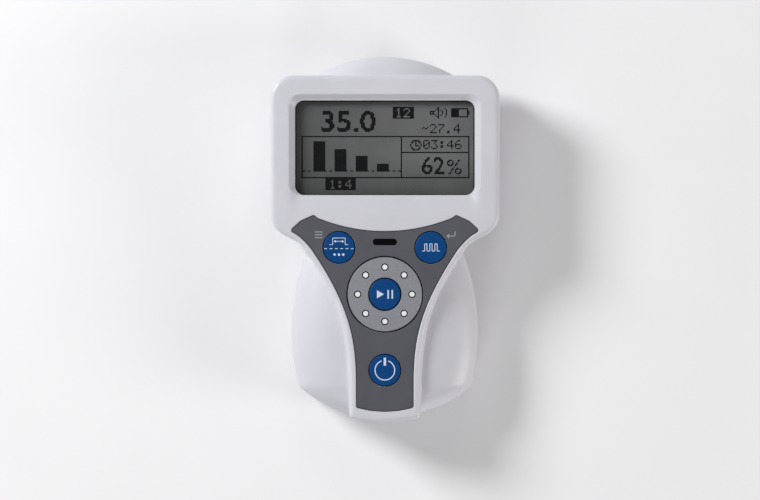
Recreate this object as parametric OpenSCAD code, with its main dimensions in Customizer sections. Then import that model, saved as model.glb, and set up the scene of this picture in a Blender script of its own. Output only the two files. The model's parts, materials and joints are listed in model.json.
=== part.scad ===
// Handheld nerve stimulator: display head, jog dial, four keys and a waisted battery grip.
// It lies on its back: z = 0 is the back plane, +Z comes out of the front, +Y points to the screen end.
// Lengths are in millimetres.

/* [Body] */
// Overall length, from the foot of the stem to the top of the socket bulge
body_len = 143.5; // [142:0.5:146]
// Overall thickness, from the back plane to the front face
body_t = 31; // [31:0.2:33]
// Height of the parting plane between the rear and front housings
part_z = 15; // [14.8:0.1:15.4]
// Width of the display head
head_w = 90; // [89:0.5:94]
// How far the socket bulge stands out past the head's top edge
bulge_out = 7.75; // [6.5:0.25:9]
// Corner radius at the head's top
head_corner_r = 9; // [6:0.5:12]
// Height of the head's back face above the back plane
head_back_z = 9; // [8:0.25:9.5]
// Wall of both housings
wall = 2.2; // [2:0.1:2.4]
// Thickness of the front face over the controls
face_t = 2.6; // [2.4:0.1:2.8]
// Radius on the front face's outer edge
face_edge_r = 2; // [1.2:0.2:2.4]

/* [Grip] */
// Widest part of the grip
grip_w = 73.6; // [72:0.4:76]
// Y of the widest part
grip_y = -36.4; // [-38:0.2:-34]
// Plan radius of the grip's sides
grip_side_r = 82.9; // [80:0.1:88]
// Plan radius of the grip's bottom end
grip_end_r = 53.5; // [51:0.5:58]
// How far the stem's foot stands out past the grip's bottom end
foot_out = 1; // [0.6:0.1:1.6]
// Corner radius between the grip's side and bottom end
grip_corner_r = 5; // [3:0.5:7]
// Radius round the edge of the back
back_edge_r = 6; // [4:0.5:7]
// Height of the grip's crown under the stem
crown_z = 28.5; // [28:0.1:29]
// Width of the stem at the grip
stem_w = 27.8; // [27.4:0.2:30]

/* [Display] */
// Dots across the screen
lcd_cols = 128; // [128]
// Dots down the screen
lcd_rows = 64; // [64]
// Pitch of the screen's dots
lcd_pitch = 0.52; // [0.5:0.005:0.525]
// Margin of the window opening round the screen's dots
window_margin = 1.92; // [1.5:0.02:2.3]
// Corner radius of the window opening
window_r = 3.5; // [2:0.25:5]
// Thickness of the window pane
pane_t = 1.5; // [1.2:0.1:1.8]
// How deep the ramp under the window falls
ramp_drop = 1.6; // [1:0.1:1.8]

/* [Keys and dial] */
// Diameter of a round key
key_d = 12.4; // [11:0.2:12.6]
// Travel of a key
key_travel = 0.6; // [0.3:0.1:0.7]
// X of the mode key and, mirrored, the rate key
side_key_x = 18; // [17.5:0.1:18.5]
// Y of the mode and rate keys
side_key_y = -3.5; // [-4:0.1:-3]
// Y of the dial and the play key in its middle
dial_y = -21.85; // [-22.5:0.05:-21.8]
// Y of the power key
power_key_y = -51.6; // [-53:0.1:-50]
// Diameter of the dial ring
dial_d = 29.6; // [29:0.1:29.8]
// Number of inlaid markers on the dial
markers = 8; // [4:1:12]
// Pitch radius of the markers
marker_pcr = 10.65; // [10.2:0.05:11.2]
// Detent steps in one turn of the dial
detents = 24; // [12, 24]
// Length of the indicator window
lamp_l = 9.3; // [8:0.1:10]
// Width of the indicator window
lamp_w = 2.4; // [2:0.1:3]
// Y of the indicator window
lamp_y = -1.35; // [-1.6:0.05:-1]

/* [Battery] */
// Diameter of a battery cell
cell_d = 10.5; // [10.5]
// Length of a battery cell
cell_l = 44.5; // [44.5]
// Gap between two cells
cell_gap = 0.5; // [0.4:0.1:0.7]
// How far the battery door slides
door_travel = 55; // [30:1:56]

/* [Fits] */
// Gap round a key, the dial and the door
move_gap = 0.3; // [0.3:0.05:0.4]
// Radial running clearance of the dial on its carrier
run_gap = 0.05; // [0.02:0.01:0.09]
// Gap between fixed pieces that are laid together
lay_gap = 0.1; // [0.05:0.05:0.15]

/* [Lead socket] */
// Bore radius of the lead socket
socket_r = 4; // [3:0.25:4.5]
// Depth of the lead socket's bore
socket_depth = 8; // [6:0.5:10]
// Height of the socket's axis
socket_z = 8.5; // [8:0.1:9]

/* [Hidden] */
$fn = 64;
eps = 0.01;

// Places along the body stretch with its length
stretch = body_len / 143.5;
controls_y = side_key_y * stretch;
middle_y = dial_y * stretch;
power_y = power_key_y * stretch;
indicator_y = lamp_y * stretch;

// Plan of the body
half_len = body_len / 2;
head_hw = head_w / 2;
head_top = half_len - bulge_out;
grip_hw = grip_w / 2;
stem_hw = stem_w / 2;
grip_bottom = -half_len + foot_out;
grip_end_c = [0, grip_bottom + grip_end_r];
grip_side_c = [grip_hw - grip_side_r, grip_y * stretch];
neck = [30.95, -5.3 * stretch];
neck_mid = [36, -0.4 * stretch];
head_side_y = 10 * stretch;
roll_y = 56 * stretch;
foot_r = 63.7;
bulge_r = 54.6;
bulge_c = [0, half_len - bulge_r];
hump_hw = 37;

// Screen and its window
screen_y = head_top - 28.35 * stretch;
lcd_w = lcd_cols * lcd_pitch;
lcd_h = lcd_rows * lcd_pitch;
window_w = lcd_w + 2 * window_margin;
window_h = lcd_h + 2 * window_margin;
pane_w = window_w + 3.2;
pane_h = window_h + 3.2;
bezel_w = window_w + 3;
bezel_h = window_h + 5.88;

// Heights of the stack, from the back to the front
floor_t = 2;
door_t = 1.8;
cell_z = floor_t + cell_d / 2;
bay_ceiling = cell_z + cell_d / 2 + 0.3;
board_z = part_z + 1.4;
board_t = 1.6;
board_top = board_z + board_t;
face_in = body_t - face_t;
overlay_z = body_t - 0.8;
overlay_t = 0.4;
cap_top = body_t - 0.1;
flange_t = 1.2;
flange_top = face_in - move_gap;
flange_z = flange_top - flange_t;

// Outer radius of the lead socket's shell
socket_out = socket_r + 1.2;

// Switches: a six millimetre square base with a round plunger
switch_w = 6;
switch_h = 3.3;
plunger_r = 1.75;
plunger_top = board_top + switch_h + 1;
plunger_foot = board_top + switch_h - 1;

// Dial stack
dial_r = dial_d / 2;
key_r = key_d / 2;
carrier_r = 8.5;
carrier_in = key_r + 0.6 + move_gap;
carrier_top = cap_top - 1.4;
lip_z = carrier_top + 0.4;
hub_in = carrier_r + run_gap;
hub_out = 10.5;
wheel_z = 22;
wheel_t = 1;
wheel_r = 12;
ball_r = 1;
ball_pcr = 14.2;

// Battery bay
cell_pitch = cell_d + cell_gap;
spring_room = 5.5;
contact_t = 0.4;
bay_hw = 1.5 * cell_pitch + cell_d / 2 + 0.55;
bay_y0 = -60 * stretch;
bay_y1 = bay_y0 + cell_l + spring_room + 2 * contact_t + 0.2;
door_hw = bay_hw + 2;
door_y1 = bay_y1 + 1.5;
tongue_w = 1.2;
lip_t = 0.7;

// Screw places
head_screw_x = bezel_w / 2 + 3.48;
head_screws = [[head_screw_x, 13 * stretch], [head_screw_x, head_top - 6.5]];
grip_screw = [grip_hw - 6.3, -45 * stretch];
board_screws_at = [
    [30, screen_y + bezel_h / 2 + 2.45], [30, screen_y - bezel_h / 2 - 5.15], [8, bay_y0 - 1.5]
];

// ---- Outline functions. A point is [x, y] or [x, y, corner radius].

function unit(v) = v / norm(v);

// Points on an arc about c, from angle a0 to a1
function arc(c, r, a0, a1, n) = [
    for (i = [0:n]) let (a = a0 + (a1 - a0) * i / n) [c[0] + r * cos(a), c[1] + r * sin(a)]
];

// Points on a cubic curve, without the first one
function curve(a, b, c, d, n) = [
    for (i = [1:n]) let (t = i / n, s = 1 - t)
        s * s * s * a + 3 * s * s * t * b + 3 * s * t * t * c + t * t * t * d
];

// The right-hand meeting point of two circles
function meet(c0, r0, c1, r1) =
    let (d = norm(c1 - c0), u = (c1 - c0) / d)
    let (a = (d * d + r0 * r0 - r1 * r1) / (2 * d), h = sqrt(r0 * r0 - a * a))
    c0 + a * u + h * [u[1], -u[0]];

// Closes a right half, listed from bottom to top, with its mirror image
function both_sides(half) = concat(
    half,
    [
        for (i = [len(half) - 1:-1:0]) if (half[i][0] > eps)
            [for (k = [0:len(half[i]) - 1]) k == 0 ? -half[i][0] : half[i][k]]
    ]
);

// Moves every side of a closed outline inwards by d
function inset(pts, d) = let (n = len(pts)) [
    for (i = [0:n - 1])
        let (
            p = [pts[i][0], pts[i][1]],
            q = [pts[(i + n - 1) % n][0], pts[(i + n - 1) % n][1]],
            s = [pts[(i + 1) % n][0], pts[(i + 1) % n][1]],
            u = unit(p - q),
            v = unit(s - p),
            m = [-u[1] - v[1], u[0] + v[0]],
            r = len(pts[i]) > 2 ? pts[i][2] : 0,
            c = p + d * m / (1 + u * v)
        )
        r > 0 ? [c[0], c[1], max(r - d, 0.4)] : c
];

// Replaces each corner that has a radius with an arc of n steps
function fillet(pts, n = 5) = let (m = len(pts)) [
    for (i = [0:m - 1])
        let (
            p = [pts[i][0], pts[i][1]],
            u = unit([pts[(i + m - 1) % m][0], pts[(i + m - 1) % m][1]] - p),
            v = unit([pts[(i + 1) % m][0], pts[(i + 1) % m][1]] - p),
            r = len(pts[i]) > 2 ? pts[i][2] : 0,
            half = acos(u * v) / 2,
            c = p + unit(u + v) * r / sin(half),
            t0 = p + u * r / tan(half) - c,
            turn = 180 - 2 * half
        )
        each r > 0
            ? [
                for (k = [0:n]) let (a = turn * k / n)
                    c + [t0[0] * cos(a) - t0[1] * sin(a), t0[0] * sin(a) + t0[1] * cos(a)]
            ]
            : [p]
];

// A rectangle with rounded corners, as an outline
function rounded_rect(x0, x1, y0, y1, r) = [[x1, y0, r], [x1, y1, r], [x0, y1, r], [x0, y0, r]];

// ---- Outlines of the body

function foot_y(x) = -half_len + foot_r - sqrt(foot_r * foot_r - x * x);

neck_curve = concat(
    curve(neck, neck + [0.59, 0.81], neck_mid - [3.53, 1.88], neck_mid, 3),
    curve(neck_mid, neck_mid + [2.65, 1.41], [head_hw, head_side_y - 7], [head_hw, head_side_y], 6)
);

// Front silhouette: foot, tapering stem, neck and head
front_half = concat(
    [[0, -half_len], [stem_hw / 2, foot_y(stem_hw / 2)], [stem_hw, foot_y(stem_hw), 1.5]],
    [[stem_hw, -60 * stretch]],
    curve([stem_hw, -60 * stretch], [stem_hw, -31 * stretch], neck - [9.85, 12.6], neck, 9),
    neck_curve,
    [[head_hw, head_top, head_corner_r]]
);
front_outline = both_sides(front_half);

// Head alone, for the rear housing. Its lower edge lies inside the grip.
head_half = concat([[neck[0] - 2.5, neck[1] - 4]], [neck], neck_curve, [[head_hw, head_top, head_corner_r]]);
head_outline = both_sides(head_half);

// Grip, hump and socket bulge in one barrel
grip_corner = meet(grip_side_c, grip_side_r, grip_end_c, grip_end_r);
end_a = acos(grip_corner[0] / grip_end_r);
side_a0 = asin((grip_corner[1] - grip_y) / grip_side_r);
side_a1 = asin((neck[1] - grip_y) / grip_side_r);
side_top = grip_side_c + grip_side_r * [cos(side_a1), sin(side_a1)];
bulge_a = acos(hump_hw / bulge_r);
barrel_half = concat(
    [for (p = arc(grip_end_c, grip_end_r, -90, -end_a, 5)) if (p[0] < grip_corner[0] - 1) p],
    [[grip_corner[0], grip_corner[1], grip_corner_r]],
    [for (p = arc(grip_side_c, grip_side_r, side_a0, side_a1, 7)) if (p[1] > grip_corner[1] + 1) p],
    curve(side_top, side_top + [-1.5, 5], [hump_hw, 8 * stretch], [hump_hw, 20 * stretch], 3),
    [[hump_hw, bulge_c[1] + bulge_r * sin(bulge_a), 8]],
    [for (p = arc(bulge_c, bulge_r, bulge_a, 90, 5)) if (p[0] < hump_hw - 1) p]
);
barrel_outline = both_sides(barrel_half);

// ---- Solids from outlines

// A closed solid through rings [z, points], from the lowest ring to the highest
module loft(rings) {
    n = len(rings[0][1]);
    m = len(rings);
    polyhedron(
        points = [for (ring = rings) for (p = ring[1]) [p[0], p[1], ring[0]]],
        faces = concat(
            [[for (i = [0:n - 1]) i]],
            [for (k = [0:m - 2]) for (i = [0:n - 1]) [k * n + i, (k + 1) * n + i, (k + 1) * n + (i + 1) % n]],
            [
                for (k = [0:m - 2]) for (i = [0:n - 1])
                    [k * n + i, (k + 1) * n + (i + 1) % n, k * n + (i + 1) % n]
            ],
            [[for (i = [n - 1:-1:0]) (m - 1) * n + i]]
        )
    );
}

module plate(pts, z, t) {
    translate([0, 0, z]) linear_extrude(t) polygon(fillet(pts));
}

module post(at, z0, z1, r) {
    translate([at[0], at[1], z0]) cylinder(r = r, h = z1 - z0);
}

module ring(z0, z1, r0, r1) {
    rotate_extrude() translate([r0, z0]) square([r1 - r0, z1 - z0]);
}

module box(x0, x1, y0, y1, z0, z1) {
    translate([x0, y0, z0]) cube([x1 - x0, y1 - y0, z1 - z0]);
}

// Both of a pair of pieces that lie left and right
module left_right() {
    children();
    mirror([1, 0, 0]) children();
}

// The front slab, with its front edge rounded off in fine steps
module front_slab() {
    r = face_edge_r;
    steps = 4;
    plate(front_outline, part_z, body_t - r - part_z);
    for (k = [1:steps])
        let (a0 = 90 * (k - 1) / steps, a1 = 90 * k / steps, top = body_t - r + r * sin(a1))
            plate(inset(front_outline, r * (1 - cos((a0 + a1) / 2))), part_z + 1, top - part_z - 1);
}

// Crowned barrel between y0 and y1: each pair of outline points gives one cross-section
module crown(outline, y0, y1, z0, foot, top, roll) {
    pts = [for (p = fillet(outline, 4)) if (p[0] > -eps && p[1] > y0 && p[1] < y1) [max(p[0], 0.5), p[1]]];
    steps = 12;
    y_end = half_len + 0.4;
    function top_at(y) = let (t = max(abs(y) - roll, 0) / (y_end - roll))
        foot + (top - foot) * pow(1 - pow(t, 2.2), 0.6);
    n = steps + 3;
    m = len(pts);
    points = [
        for (p = pts) each concat(
            [[p[0], p[1], z0], [-p[0], p[1], z0]],
            [
                for (k = [steps:-1:0]) let (c = cos(180 * k / steps))
                    [p[0] * c, p[1], foot + (top_at(p[1]) - foot) * pow(max(1 - pow(abs(c), 2.6), 0), 0.66)]
            ]
        )
    ];
    polyhedron(
        points = points,
        faces = concat(
            [[for (i = [0:n - 1]) i]],
            [for (k = [0:m - 2]) for (i = [0:n - 1]) [k * n + i, (k + 1) * n + i, (k + 1) * n + (i + 1) % n]],
            [
                for (k = [0:m - 2]) for (i = [0:n - 1])
                    [k * n + i, (k + 1) * n + (i + 1) % n, k * n + (i + 1) % n]
            ],
            [[for (i = [n - 1:-1:0]) (m - 1) * n + i]]
        )
    );
}

// ---- Casing

module window_recess() {
    x = window_w / 2;
    y0 = screen_y - window_h / 2;
    y1 = screen_y + window_h / 2;
    flare = 2.5;
    loft([
        [face_in - 1, fillet(rounded_rect(-x, x, y0, y1, window_r))],
        [face_in, fillet(rounded_rect(-x, x, y0, y1, window_r))],
        [body_t + eps, fillet(rounded_rect(-x - flare, x + flare, y0 - 0.4, y1 + flare, window_r))]
    ]);
    // Ramp that falls towards the window's lower edge
    ramp_l = 9;
    translate([-x - flare + 0.6, 0, 0]) rotate([90, 0, 90]) linear_extrude(window_w + 2 * flare - 1.2)
        polygon([
            [y0 - ramp_l, body_t + eps],
            [y0 + 1, body_t - ramp_drop - ramp_drop / ramp_l],
            [y0 + 1, body_t + 1],
            [y0 - ramp_l, body_t + 1]
        ]);
}

// Stretches points along the body
function along(pts) = [for (p = pts) [for (k = [0:len(p) - 1]) k == 1 ? p[k] * stretch : p[k]]];

// Grey overlay, as an outline grown by g
function overlay_outline(g) = inset(both_sides(concat(
    along([[0, -67.85], [5.6, -67.45], [11.2, -66.3, 1], [11.2, -58]]),
    along(curve([11.2, -58], [11.2, -42], [12.3, -28.5], [28.5, -4.5], 9)),
    along(curve([28.5, -4.5], [31, -1.3], [33.6, 1.2], [35.6, 2.1], 3)),
    along([[37.2, 3.1, 1], [33, 6.9], [27.9, 9.2, 1]]),
    along(arc([0, 72.1], 69.3, -67.5, -90, 5))
)), -g);

module key_holes(z, t, g) {
    for (x = [-side_key_x, side_key_x])
        post([x, controls_y], z, z + t, key_r + g);
    post([0, power_y], z, z + t, key_r + g);
    post([0, middle_y], z, z + t, dial_r + g);
}

module lamp_shape(z, t, g) {
    translate([0, indicator_y, z]) linear_extrude(t) hull()
        for (s = [-1, 1])
            translate([s * (lamp_l - lamp_w) / 2, 0]) circle(r = lamp_w / 2 + g);
}

// Room under the grip's crown, stepped in well inside the outer surface
module grip_room() {
    steps = [[part_z - 1, 1], [part_z + 1.5, 1], [crown_z - 8, 0.87], [crown_z - 5, 0.7], [crown_z - 2.7, 0.4]];
    pts = fillet(inset(barrel_outline, wall), 2);
    loft([for (s = steps) [s[0], s[1] * pts]]);
}

module front_housing() {
    color("Gainsboro") {
        difference() {
            union() {
                front_slab();
                crown(barrel_outline, -body_len, neck[1] + 4, part_z, part_z + 1.5, crown_z, roll_y);
                crown(barrel_outline, head_top - 6, body_len, part_z, part_z + 1.5, crown_z, roll_y);
            }
            plate(inset(front_outline, wall), part_z - 1, face_in - part_z + 1);
            grip_room();
            window_recess();
            plate(overlay_outline(lay_gap), overlay_z, 2);
            key_holes(face_in - 1, face_t + 2, move_gap);
            lamp_shape(face_in - 1, face_t + 2, lay_gap);
        }
        // Screw bosses
        left_right() {
            for (p = head_screws)
                difference() {
                    post(p, part_z, face_in + 0.5, 2.4);
                    post(p, part_z - 1, part_z + 7, 1.15);
                }
            difference() {
                post(grip_screw, part_z, part_z + 5.5, 2.4);
                post(grip_screw, part_z - 1, part_z + 3.5, 1.15);
            }
            for (p = board_screws_at)
                difference() {
                    post(p, board_top, face_in + 0.2, 2.2);
                    post(p, board_top - 1, board_top + 4, 0.85);
                }
        }
    }
}

// An outline's prism whose lower edge, at z0, is rounded off in fine steps up to the height z1
module rounded_below(outline, r, z0, z1, steps) {
    for (k = [1:steps])
        let (a0 = 90 * (k - 1) / steps, mid = 90 * (k - 0.5) / steps, z = z0 + r - r * cos(a0))
            plate(inset(outline, r - r * sin(mid)), z, z1 - z - (k < steps ? 1 : 0));
    plate(outline, z0 + r, z1 - z0 - r);
}

module rear_outer() {
    rounded_below(barrel_outline, back_edge_r, 0, part_z, 6);
    rounded_below(head_outline, part_z - head_back_z - 2.5, head_back_z, part_z, 3);
}

module door_slot(g) {
    box(-door_hw - g, door_hw + g, -half_len - 5, door_y1 + g, -1, floor_t + 0.1);
    box(-door_hw - tongue_w - g, door_hw + tongue_w + g, -half_len - 5, door_y1 + g, lip_t, floor_t + 0.1);
}

module rear_housing() {
    bw = 1.5;
    color("Gainsboro") difference() {
        union() {
            difference() {
                rear_outer();
                loft([
                    [floor_t, fillet(inset(barrel_outline, wall + 2))],
                    [floor_t + 3, fillet(inset(barrel_outline, wall))],
                    [part_z + 1, fillet(inset(barrel_outline, wall))]
                ]);
                plate(inset(head_outline, wall), head_back_z + floor_t, part_z);
            }
            // Battery box with the ledge that the door's tongues run under
            box(-bay_hw - bw, bay_hw + bw, bay_y0 - bw, bay_y1 + bw, floor_t - 0.5, bay_ceiling + bw);
            box(-door_hw - 3.5, door_hw + 3.5, bay_y0 - bw, bay_y1 + bw, floor_t - 0.5, floor_t + 1.4);
            left_right() {
                for (p = head_screws)
                    post(p, head_back_z + 1, part_z, 2.8);
                post(grip_screw, 1, part_z, 2.8);
            }
            // Collar round the lead socket
            translate([0, half_len - 1, socket_z]) rotate([90, 0, 0]) cylinder(r = socket_out + 1.2, h = 8);
        }
        box(-bay_hw, bay_hw, bay_y0, bay_y1, -1, bay_ceiling);
        door_slot(move_gap);
        left_right() {
            for (p = head_screws) {
                post(p, head_back_z - 1, head_back_z + 2.5, 2.3);
                post(p, head_back_z, part_z + 1, 1.3);
            }
            post(grip_screw, -1, 4, 2.3);
            post(grip_screw, 0, part_z + 1, 1.3);
        }
        // Slots for the contact tabs, and the socket's hole
        for (x = [-1.5, 1.5]) {
            box(x * cell_pitch - 1.4, x * cell_pitch + 1.4, bay_y1 - 1, bay_y1, bay_ceiling - 1, part_z + 1);
        }
        translate([0, half_len + 1, socket_z]) rotate([90, 0, 0])
            cylinder(r = socket_out + lay_gap, h = 12);
    }
}

module battery_door() {
    color("Silver") difference() {
        union() {
            intersection() {
                rear_outer();
                box(-door_hw, door_hw, -half_len - 1, door_y1, -1, door_t);
            }
            box(-door_hw - tongue_w, door_hw + tongue_w, bay_y0 + 1, door_y1, lip_t + move_gap, door_t);
        }
        // Finger grooves
        for (k = [0:4])
            translate([0, door_y1 - 8 - 2.4 * k, 0]) rotate([0, 90, 0])
                cylinder(r = 0.7, h = 18 - 2 * k, center = true);
    }
}

module screw(at, head_z, tip_z, head_r, head_h, r) {
    difference() {
        union() {
            post(at, head_z, head_z + head_h, head_r);
            post(at, head_z + head_h - 0.2, tip_z, r);
        }
        post(at, head_z - 1, head_z + head_h * 0.6, head_r * 0.5, $fn = 6);
    }
}

module housing_screws() {
    color("DimGray") left_right() {
        for (p = head_screws)
            screw(p, head_back_z + 0.8, part_z + 6.5, 2.1, 1.6, 1.1);
        screw(grip_screw, 2.3, part_z + 3, 2.1, 1.6, 1.1);
    }
}

// ---- Display

glass_t = 2.2;
glass_margin = 2.7;
glass_z = face_in - pane_t - 1 - glass_t;
light_z = glass_z - 2.8;

module centred_plate(w, h, r, z, t) {
    plate(rounded_rect(-w / 2, w / 2, screen_y - h / 2, screen_y + h / 2, r), z, t);
}

module frame_plate(w, h, w_in, h_in, z, t) {
    difference() {
        centred_plate(w, h, 1, z, t);
        centred_plate(w_in, h_in, 1, z - 1, t + 2);
    }
}

module display_window() {
    color("DimGray", 0.5) centred_plate(pane_w, pane_h, 1.5, face_in - pane_t, pane_t);
}

module display_gasket() {
    color("Black") frame_plate(bezel_w, bezel_h - 1, window_w - 0.8, window_h - 0.8, glass_z + glass_t, 1);
}

module lcd_glass() {
    color("DarkSlateGray") {
        centred_plate(bezel_w - 1.4, bezel_h - 1.4, 1, glass_z, glass_t / 2);
        w = lcd_w + 2 * glass_margin;
        h = lcd_h + 2 * glass_margin;
        centred_plate(w, h, 1, glass_z + glass_t / 2 - eps, glass_t / 2 + eps);
    }
}

module lcd_bezel() {
    color("LightSteelBlue")
        frame_plate(bezel_w, bezel_h, bezel_w - 1.2, bezel_h - 1.2, light_z, glass_z + glass_t - light_z);
}

module lcd_backlight() {
    color("WhiteSmoke") centred_plate(bezel_w - 1.6, bezel_h - 1.6, 1, light_z, glass_z - light_z);
}

module lcd_holder() {
    color("White") frame_plate(bezel_w, bezel_h, bezel_w - 6, bezel_h - 6, board_top, light_z - board_top);
}

module lcd_flex() {
    y = screen_y - bezel_h / 2;
    color("Peru") translate([-15, 0, 0]) rotate([90, 0, 90]) linear_extrude(30)
        polygon([
            [y - 0.15, glass_z + 1], [y - 0.4, glass_z + 1], [y - 0.4, board_top + 0.5],
            [y - 0.65, board_top + 0.25], [y - 3, board_top + 0.25], [y - 3, board_top],
            [y - 0.55, board_top], [y - 0.15, board_top + 0.4]
        ]);
}

// ---- Overlay, keys and switches

module keypad_overlay() {
    color("DimGray") difference() {
        plate(overlay_outline(0), overlay_z, overlay_t);
        key_holes(overlay_z - 1, 3, move_gap + 0.05);
        lamp_shape(overlay_z - 1, 3, lay_gap);
    }
}

module key(at, flange_r) {
    dome = 0.25;
    color("RoyalBlue") translate([at[0], at[1], 0]) rotate_extrude()
        polygon([
            [0, plunger_top], [2.2, plunger_top], [2.2, flange_z], [flange_r, flange_z],
            [flange_r, flange_top], [key_r, flange_top], [key_r, cap_top - 0.6],
            [key_r - 0.12, cap_top - 0.35], [key_r - 0.45, cap_top - 0.2],
            [key_r * 0.5, cap_top - dome * 0.25], [0, cap_top]
        ]);
}

module plunger(at) {
    color("Black") post(at, plunger_foot, plunger_top, plunger_r);
}

module switch(at) {
    s = switch_w / 2;
    color("Silver") difference() {
        union() {
            translate([at[0], at[1], 0]) box(-s, s, -s, s, board_top, board_top + switch_h);
            for (y = [-2.2, 2.2])
                translate([at[0], at[1] + y, 0]) box(-s - 1, s + 1, -0.35, 0.35, board_top, board_top + 0.3);
        }
        post(at, plunger_foot - key_travel - 0.2, board_top + switch_h + 1, plunger_r + move_gap);
    }
}

mode_at = [-side_key_x, controls_y];
rate_at = [side_key_x, controls_y];
play_at = [0, middle_y];
power_at = [0, power_y];

module mode_key() { key(mode_at, key_r + 1); }
module rate_key() { key(rate_at, key_r + 1); }
module play_key() { key(play_at, key_r + 0.6); }
module power_key() { key(power_at, key_r + 1); }
module mode_plunger() { plunger(mode_at); }
module rate_plunger() { plunger(rate_at); }
module play_plunger() { plunger(play_at); }
module power_plunger() { plunger(power_at); }
module mode_switch() { switch(mode_at); }
module rate_switch() { switch(rate_at); }
module play_switch() { switch(play_at); }
module power_switch() { switch(power_at); }

// ---- Dial

module dial_ring() {
    color("DarkGray") translate([0, middle_y, 0]) difference() {
        rotate_extrude($fn = 96) polygon([
            [hub_in, wheel_z + wheel_t], [hub_out, wheel_z + wheel_t], [hub_out, flange_z],
            [dial_r + 1.2, flange_z], [dial_r + 1.2, flange_top], [dial_r, flange_top],
            [dial_r, cap_top - 0.5], [dial_r - 0.5, cap_top], [key_r + move_gap + 0.3, cap_top],
            [key_r + move_gap, cap_top - 0.3], [key_r + move_gap, lip_z], [hub_in, lip_z]
        ]);
        for (k = [0:markers - 1])
            rotate(k * 360 / markers) translate([0, marker_pcr, cap_top - 0.5]) cylinder(r = 1.45, h = 2);
        for (k = [0:detents - 1])
            rotate(k * 360 / detents) translate([ball_pcr, 0, flange_z - 0.6]) sphere(r = 1.15, $fn = 24);
    }
}

module dial_markers() {
    color("White") translate([0, middle_y, 0])
        for (k = [0:markers - 1])
            rotate(k * 360 / markers) translate([0, marker_pcr, cap_top - 0.5]) cylinder(r = 1, h = 0.45);
}

module code_wheel() {
    color("Black") translate([0, middle_y, 0]) difference() {
        ring(wheel_z, wheel_z + wheel_t, carrier_r + move_gap, wheel_r);
        for (k = [0:detents - 1])
            rotate((k + 0.5) * 360 / detents)
                translate([hub_out + 0.2, -0.5, wheel_z - 1]) cube([0.9, 1, wheel_t + 2]);
    }
}

module dial_carrier() {
    color("Ivory") translate([0, middle_y, 0]) difference() {
        rotate_extrude() polygon([
            [carrier_in, board_top], [wheel_r, board_top], [wheel_r, board_top + 1.5],
            [carrier_r + 0.9, board_top + 1.5], [carrier_r + 0.9, wheel_z - move_gap],
            [carrier_r, wheel_z - move_gap], [carrier_r, carrier_top],
            [key_r + move_gap, carrier_top], [key_r + move_gap, face_in],
            [carrier_in, face_in]
        ]);
        for (s = [-1, 1]) {
            post([0, s * (wheel_r - 1.6)], board_top - 1, board_top + 3, 0.9);
            post([0, s * (wheel_r - 1.6)], board_top + 1.5, board_top + 3, 1.45 + lay_gap);
        }
    }
}

module carrier_screws() {
    color("DimGray") for (s = [-1, 1])
        translate([0, middle_y + s * (wheel_r - 1.6), 0]) difference() {
            union() {
                post([0, 0], board_top + 1.5, board_top + 2.4, 1.45);
                post([0, 0], board_z - 0.5, board_top + 1.6, 0.8);
            }
            post([0, 0], board_top + 2, board_top + 3, 0.6, $fn = 6);
        }
}

module detent_spring() {
    seat = flange_z - ball_r + 0.2 - ball_r;
    color("Gold") translate([0, middle_y + 1.5, 0]) rotate([90, 0, 0]) linear_extrude(3)
        polygon([
            [-22, board_top], [-18, board_top], [-17.2, board_top + 0.5], [-15.6, seat - 0.3],
            [-12.8, seat - 0.3], [-12.8, seat - 0.05], [-15.8, seat - 0.05], [-17.5, board_top + 0.75],
            [-18.2, board_top + 0.25], [-22, board_top + 0.25]
        ]);
}

module detent_ball() {
    color("Silver") translate([-ball_pcr, middle_y, flange_z + 0.2 - ball_r]) sphere(r = ball_r, $fn = 32);
}

module opto_sensor() {
    color("Black") translate([0, middle_y, 0]) difference() {
        box(hub_out + 0.4, 16.4, -2.5, 2.5, board_top, wheel_z + wheel_t + 2);
        box(hub_out - 1, wheel_r + 0.5, -3, 3, wheel_z - 0.4, wheel_z + wheel_t + 0.4);
        box(hub_out - 1, wheel_r + 0.3, -3, 3, board_top - 1, board_top + 1.8);
    }
}

module indicator_lens() {
    color("Black") {
        lamp_shape(face_in - 0.6, overlay_z + overlay_t - face_in + 0.6, 0);
        translate([0, indicator_y, 0]) box(-3.2, 3.2, -0.8, 0.8, board_top + 2, face_in);
    }
}

module indicator_led() {
    color("LightGreen") translate([0, indicator_y, 0]) {
        box(-1.6, 1.6, -0.8, 0.8, board_top, board_top + 1);
        post([0, 0], board_top + 1 - eps, board_top + 1.7, 0.7);
    }
}

// ---- Electronics

board_hw = head_hw - wall - 5.6;
board_y0 = bay_y0 - 4.2;

module main_board() {
    color("SeaGreen") difference() {
        plate(both_sides([
            [11, board_y0, 1.5], [12, bay_y0, 1], [24, bay_y0 + 3, 3], [26, bay_y0 + 30],
            [26, 1 * stretch, 2], [board_hw, 4 * stretch, 2], [board_hw, head_top - wall - 0.3, 2]
        ]), board_z, board_t);
        left_right()
            for (p = board_screws_at)
                post(p, board_z - 1, board_top + 1, 1.1);
        for (s = [-1, 1])
            post([0, middle_y + s * (wheel_r - 1.6)], board_z - 1, board_top + 1, 0.85);
    }
}

module board_screws() {
    color("DimGray") left_right()
        for (p = board_screws_at)
            screw(p, board_z - 1.2, board_top + 3.5, 1.8, 1.2, 0.8);
}

// Chip under the board: a body with a row of leads on two or four sides
module chip(x, y, w, h, t, leads, sides) {
    translate([x, y, 0]) {
        box(-w / 2, w / 2, -h / 2, h / 2, board_z - t, board_z - 0.1);
        for (s = [0:sides - 1])
            rotate(s * 360 / sides)
                for (k = [0:leads - 1])
                    translate([(k - (leads - 1) / 2) * w / (leads + 1), h / 2, 0])
                        box(-0.2, 0.2, -0.3, 1, board_z - 0.3, board_z);
    }
}

module processor() {
    color("Black") chip(-20, screen_y + 14.35, 12, 12, 1.4, 8, 4);
}

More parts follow.
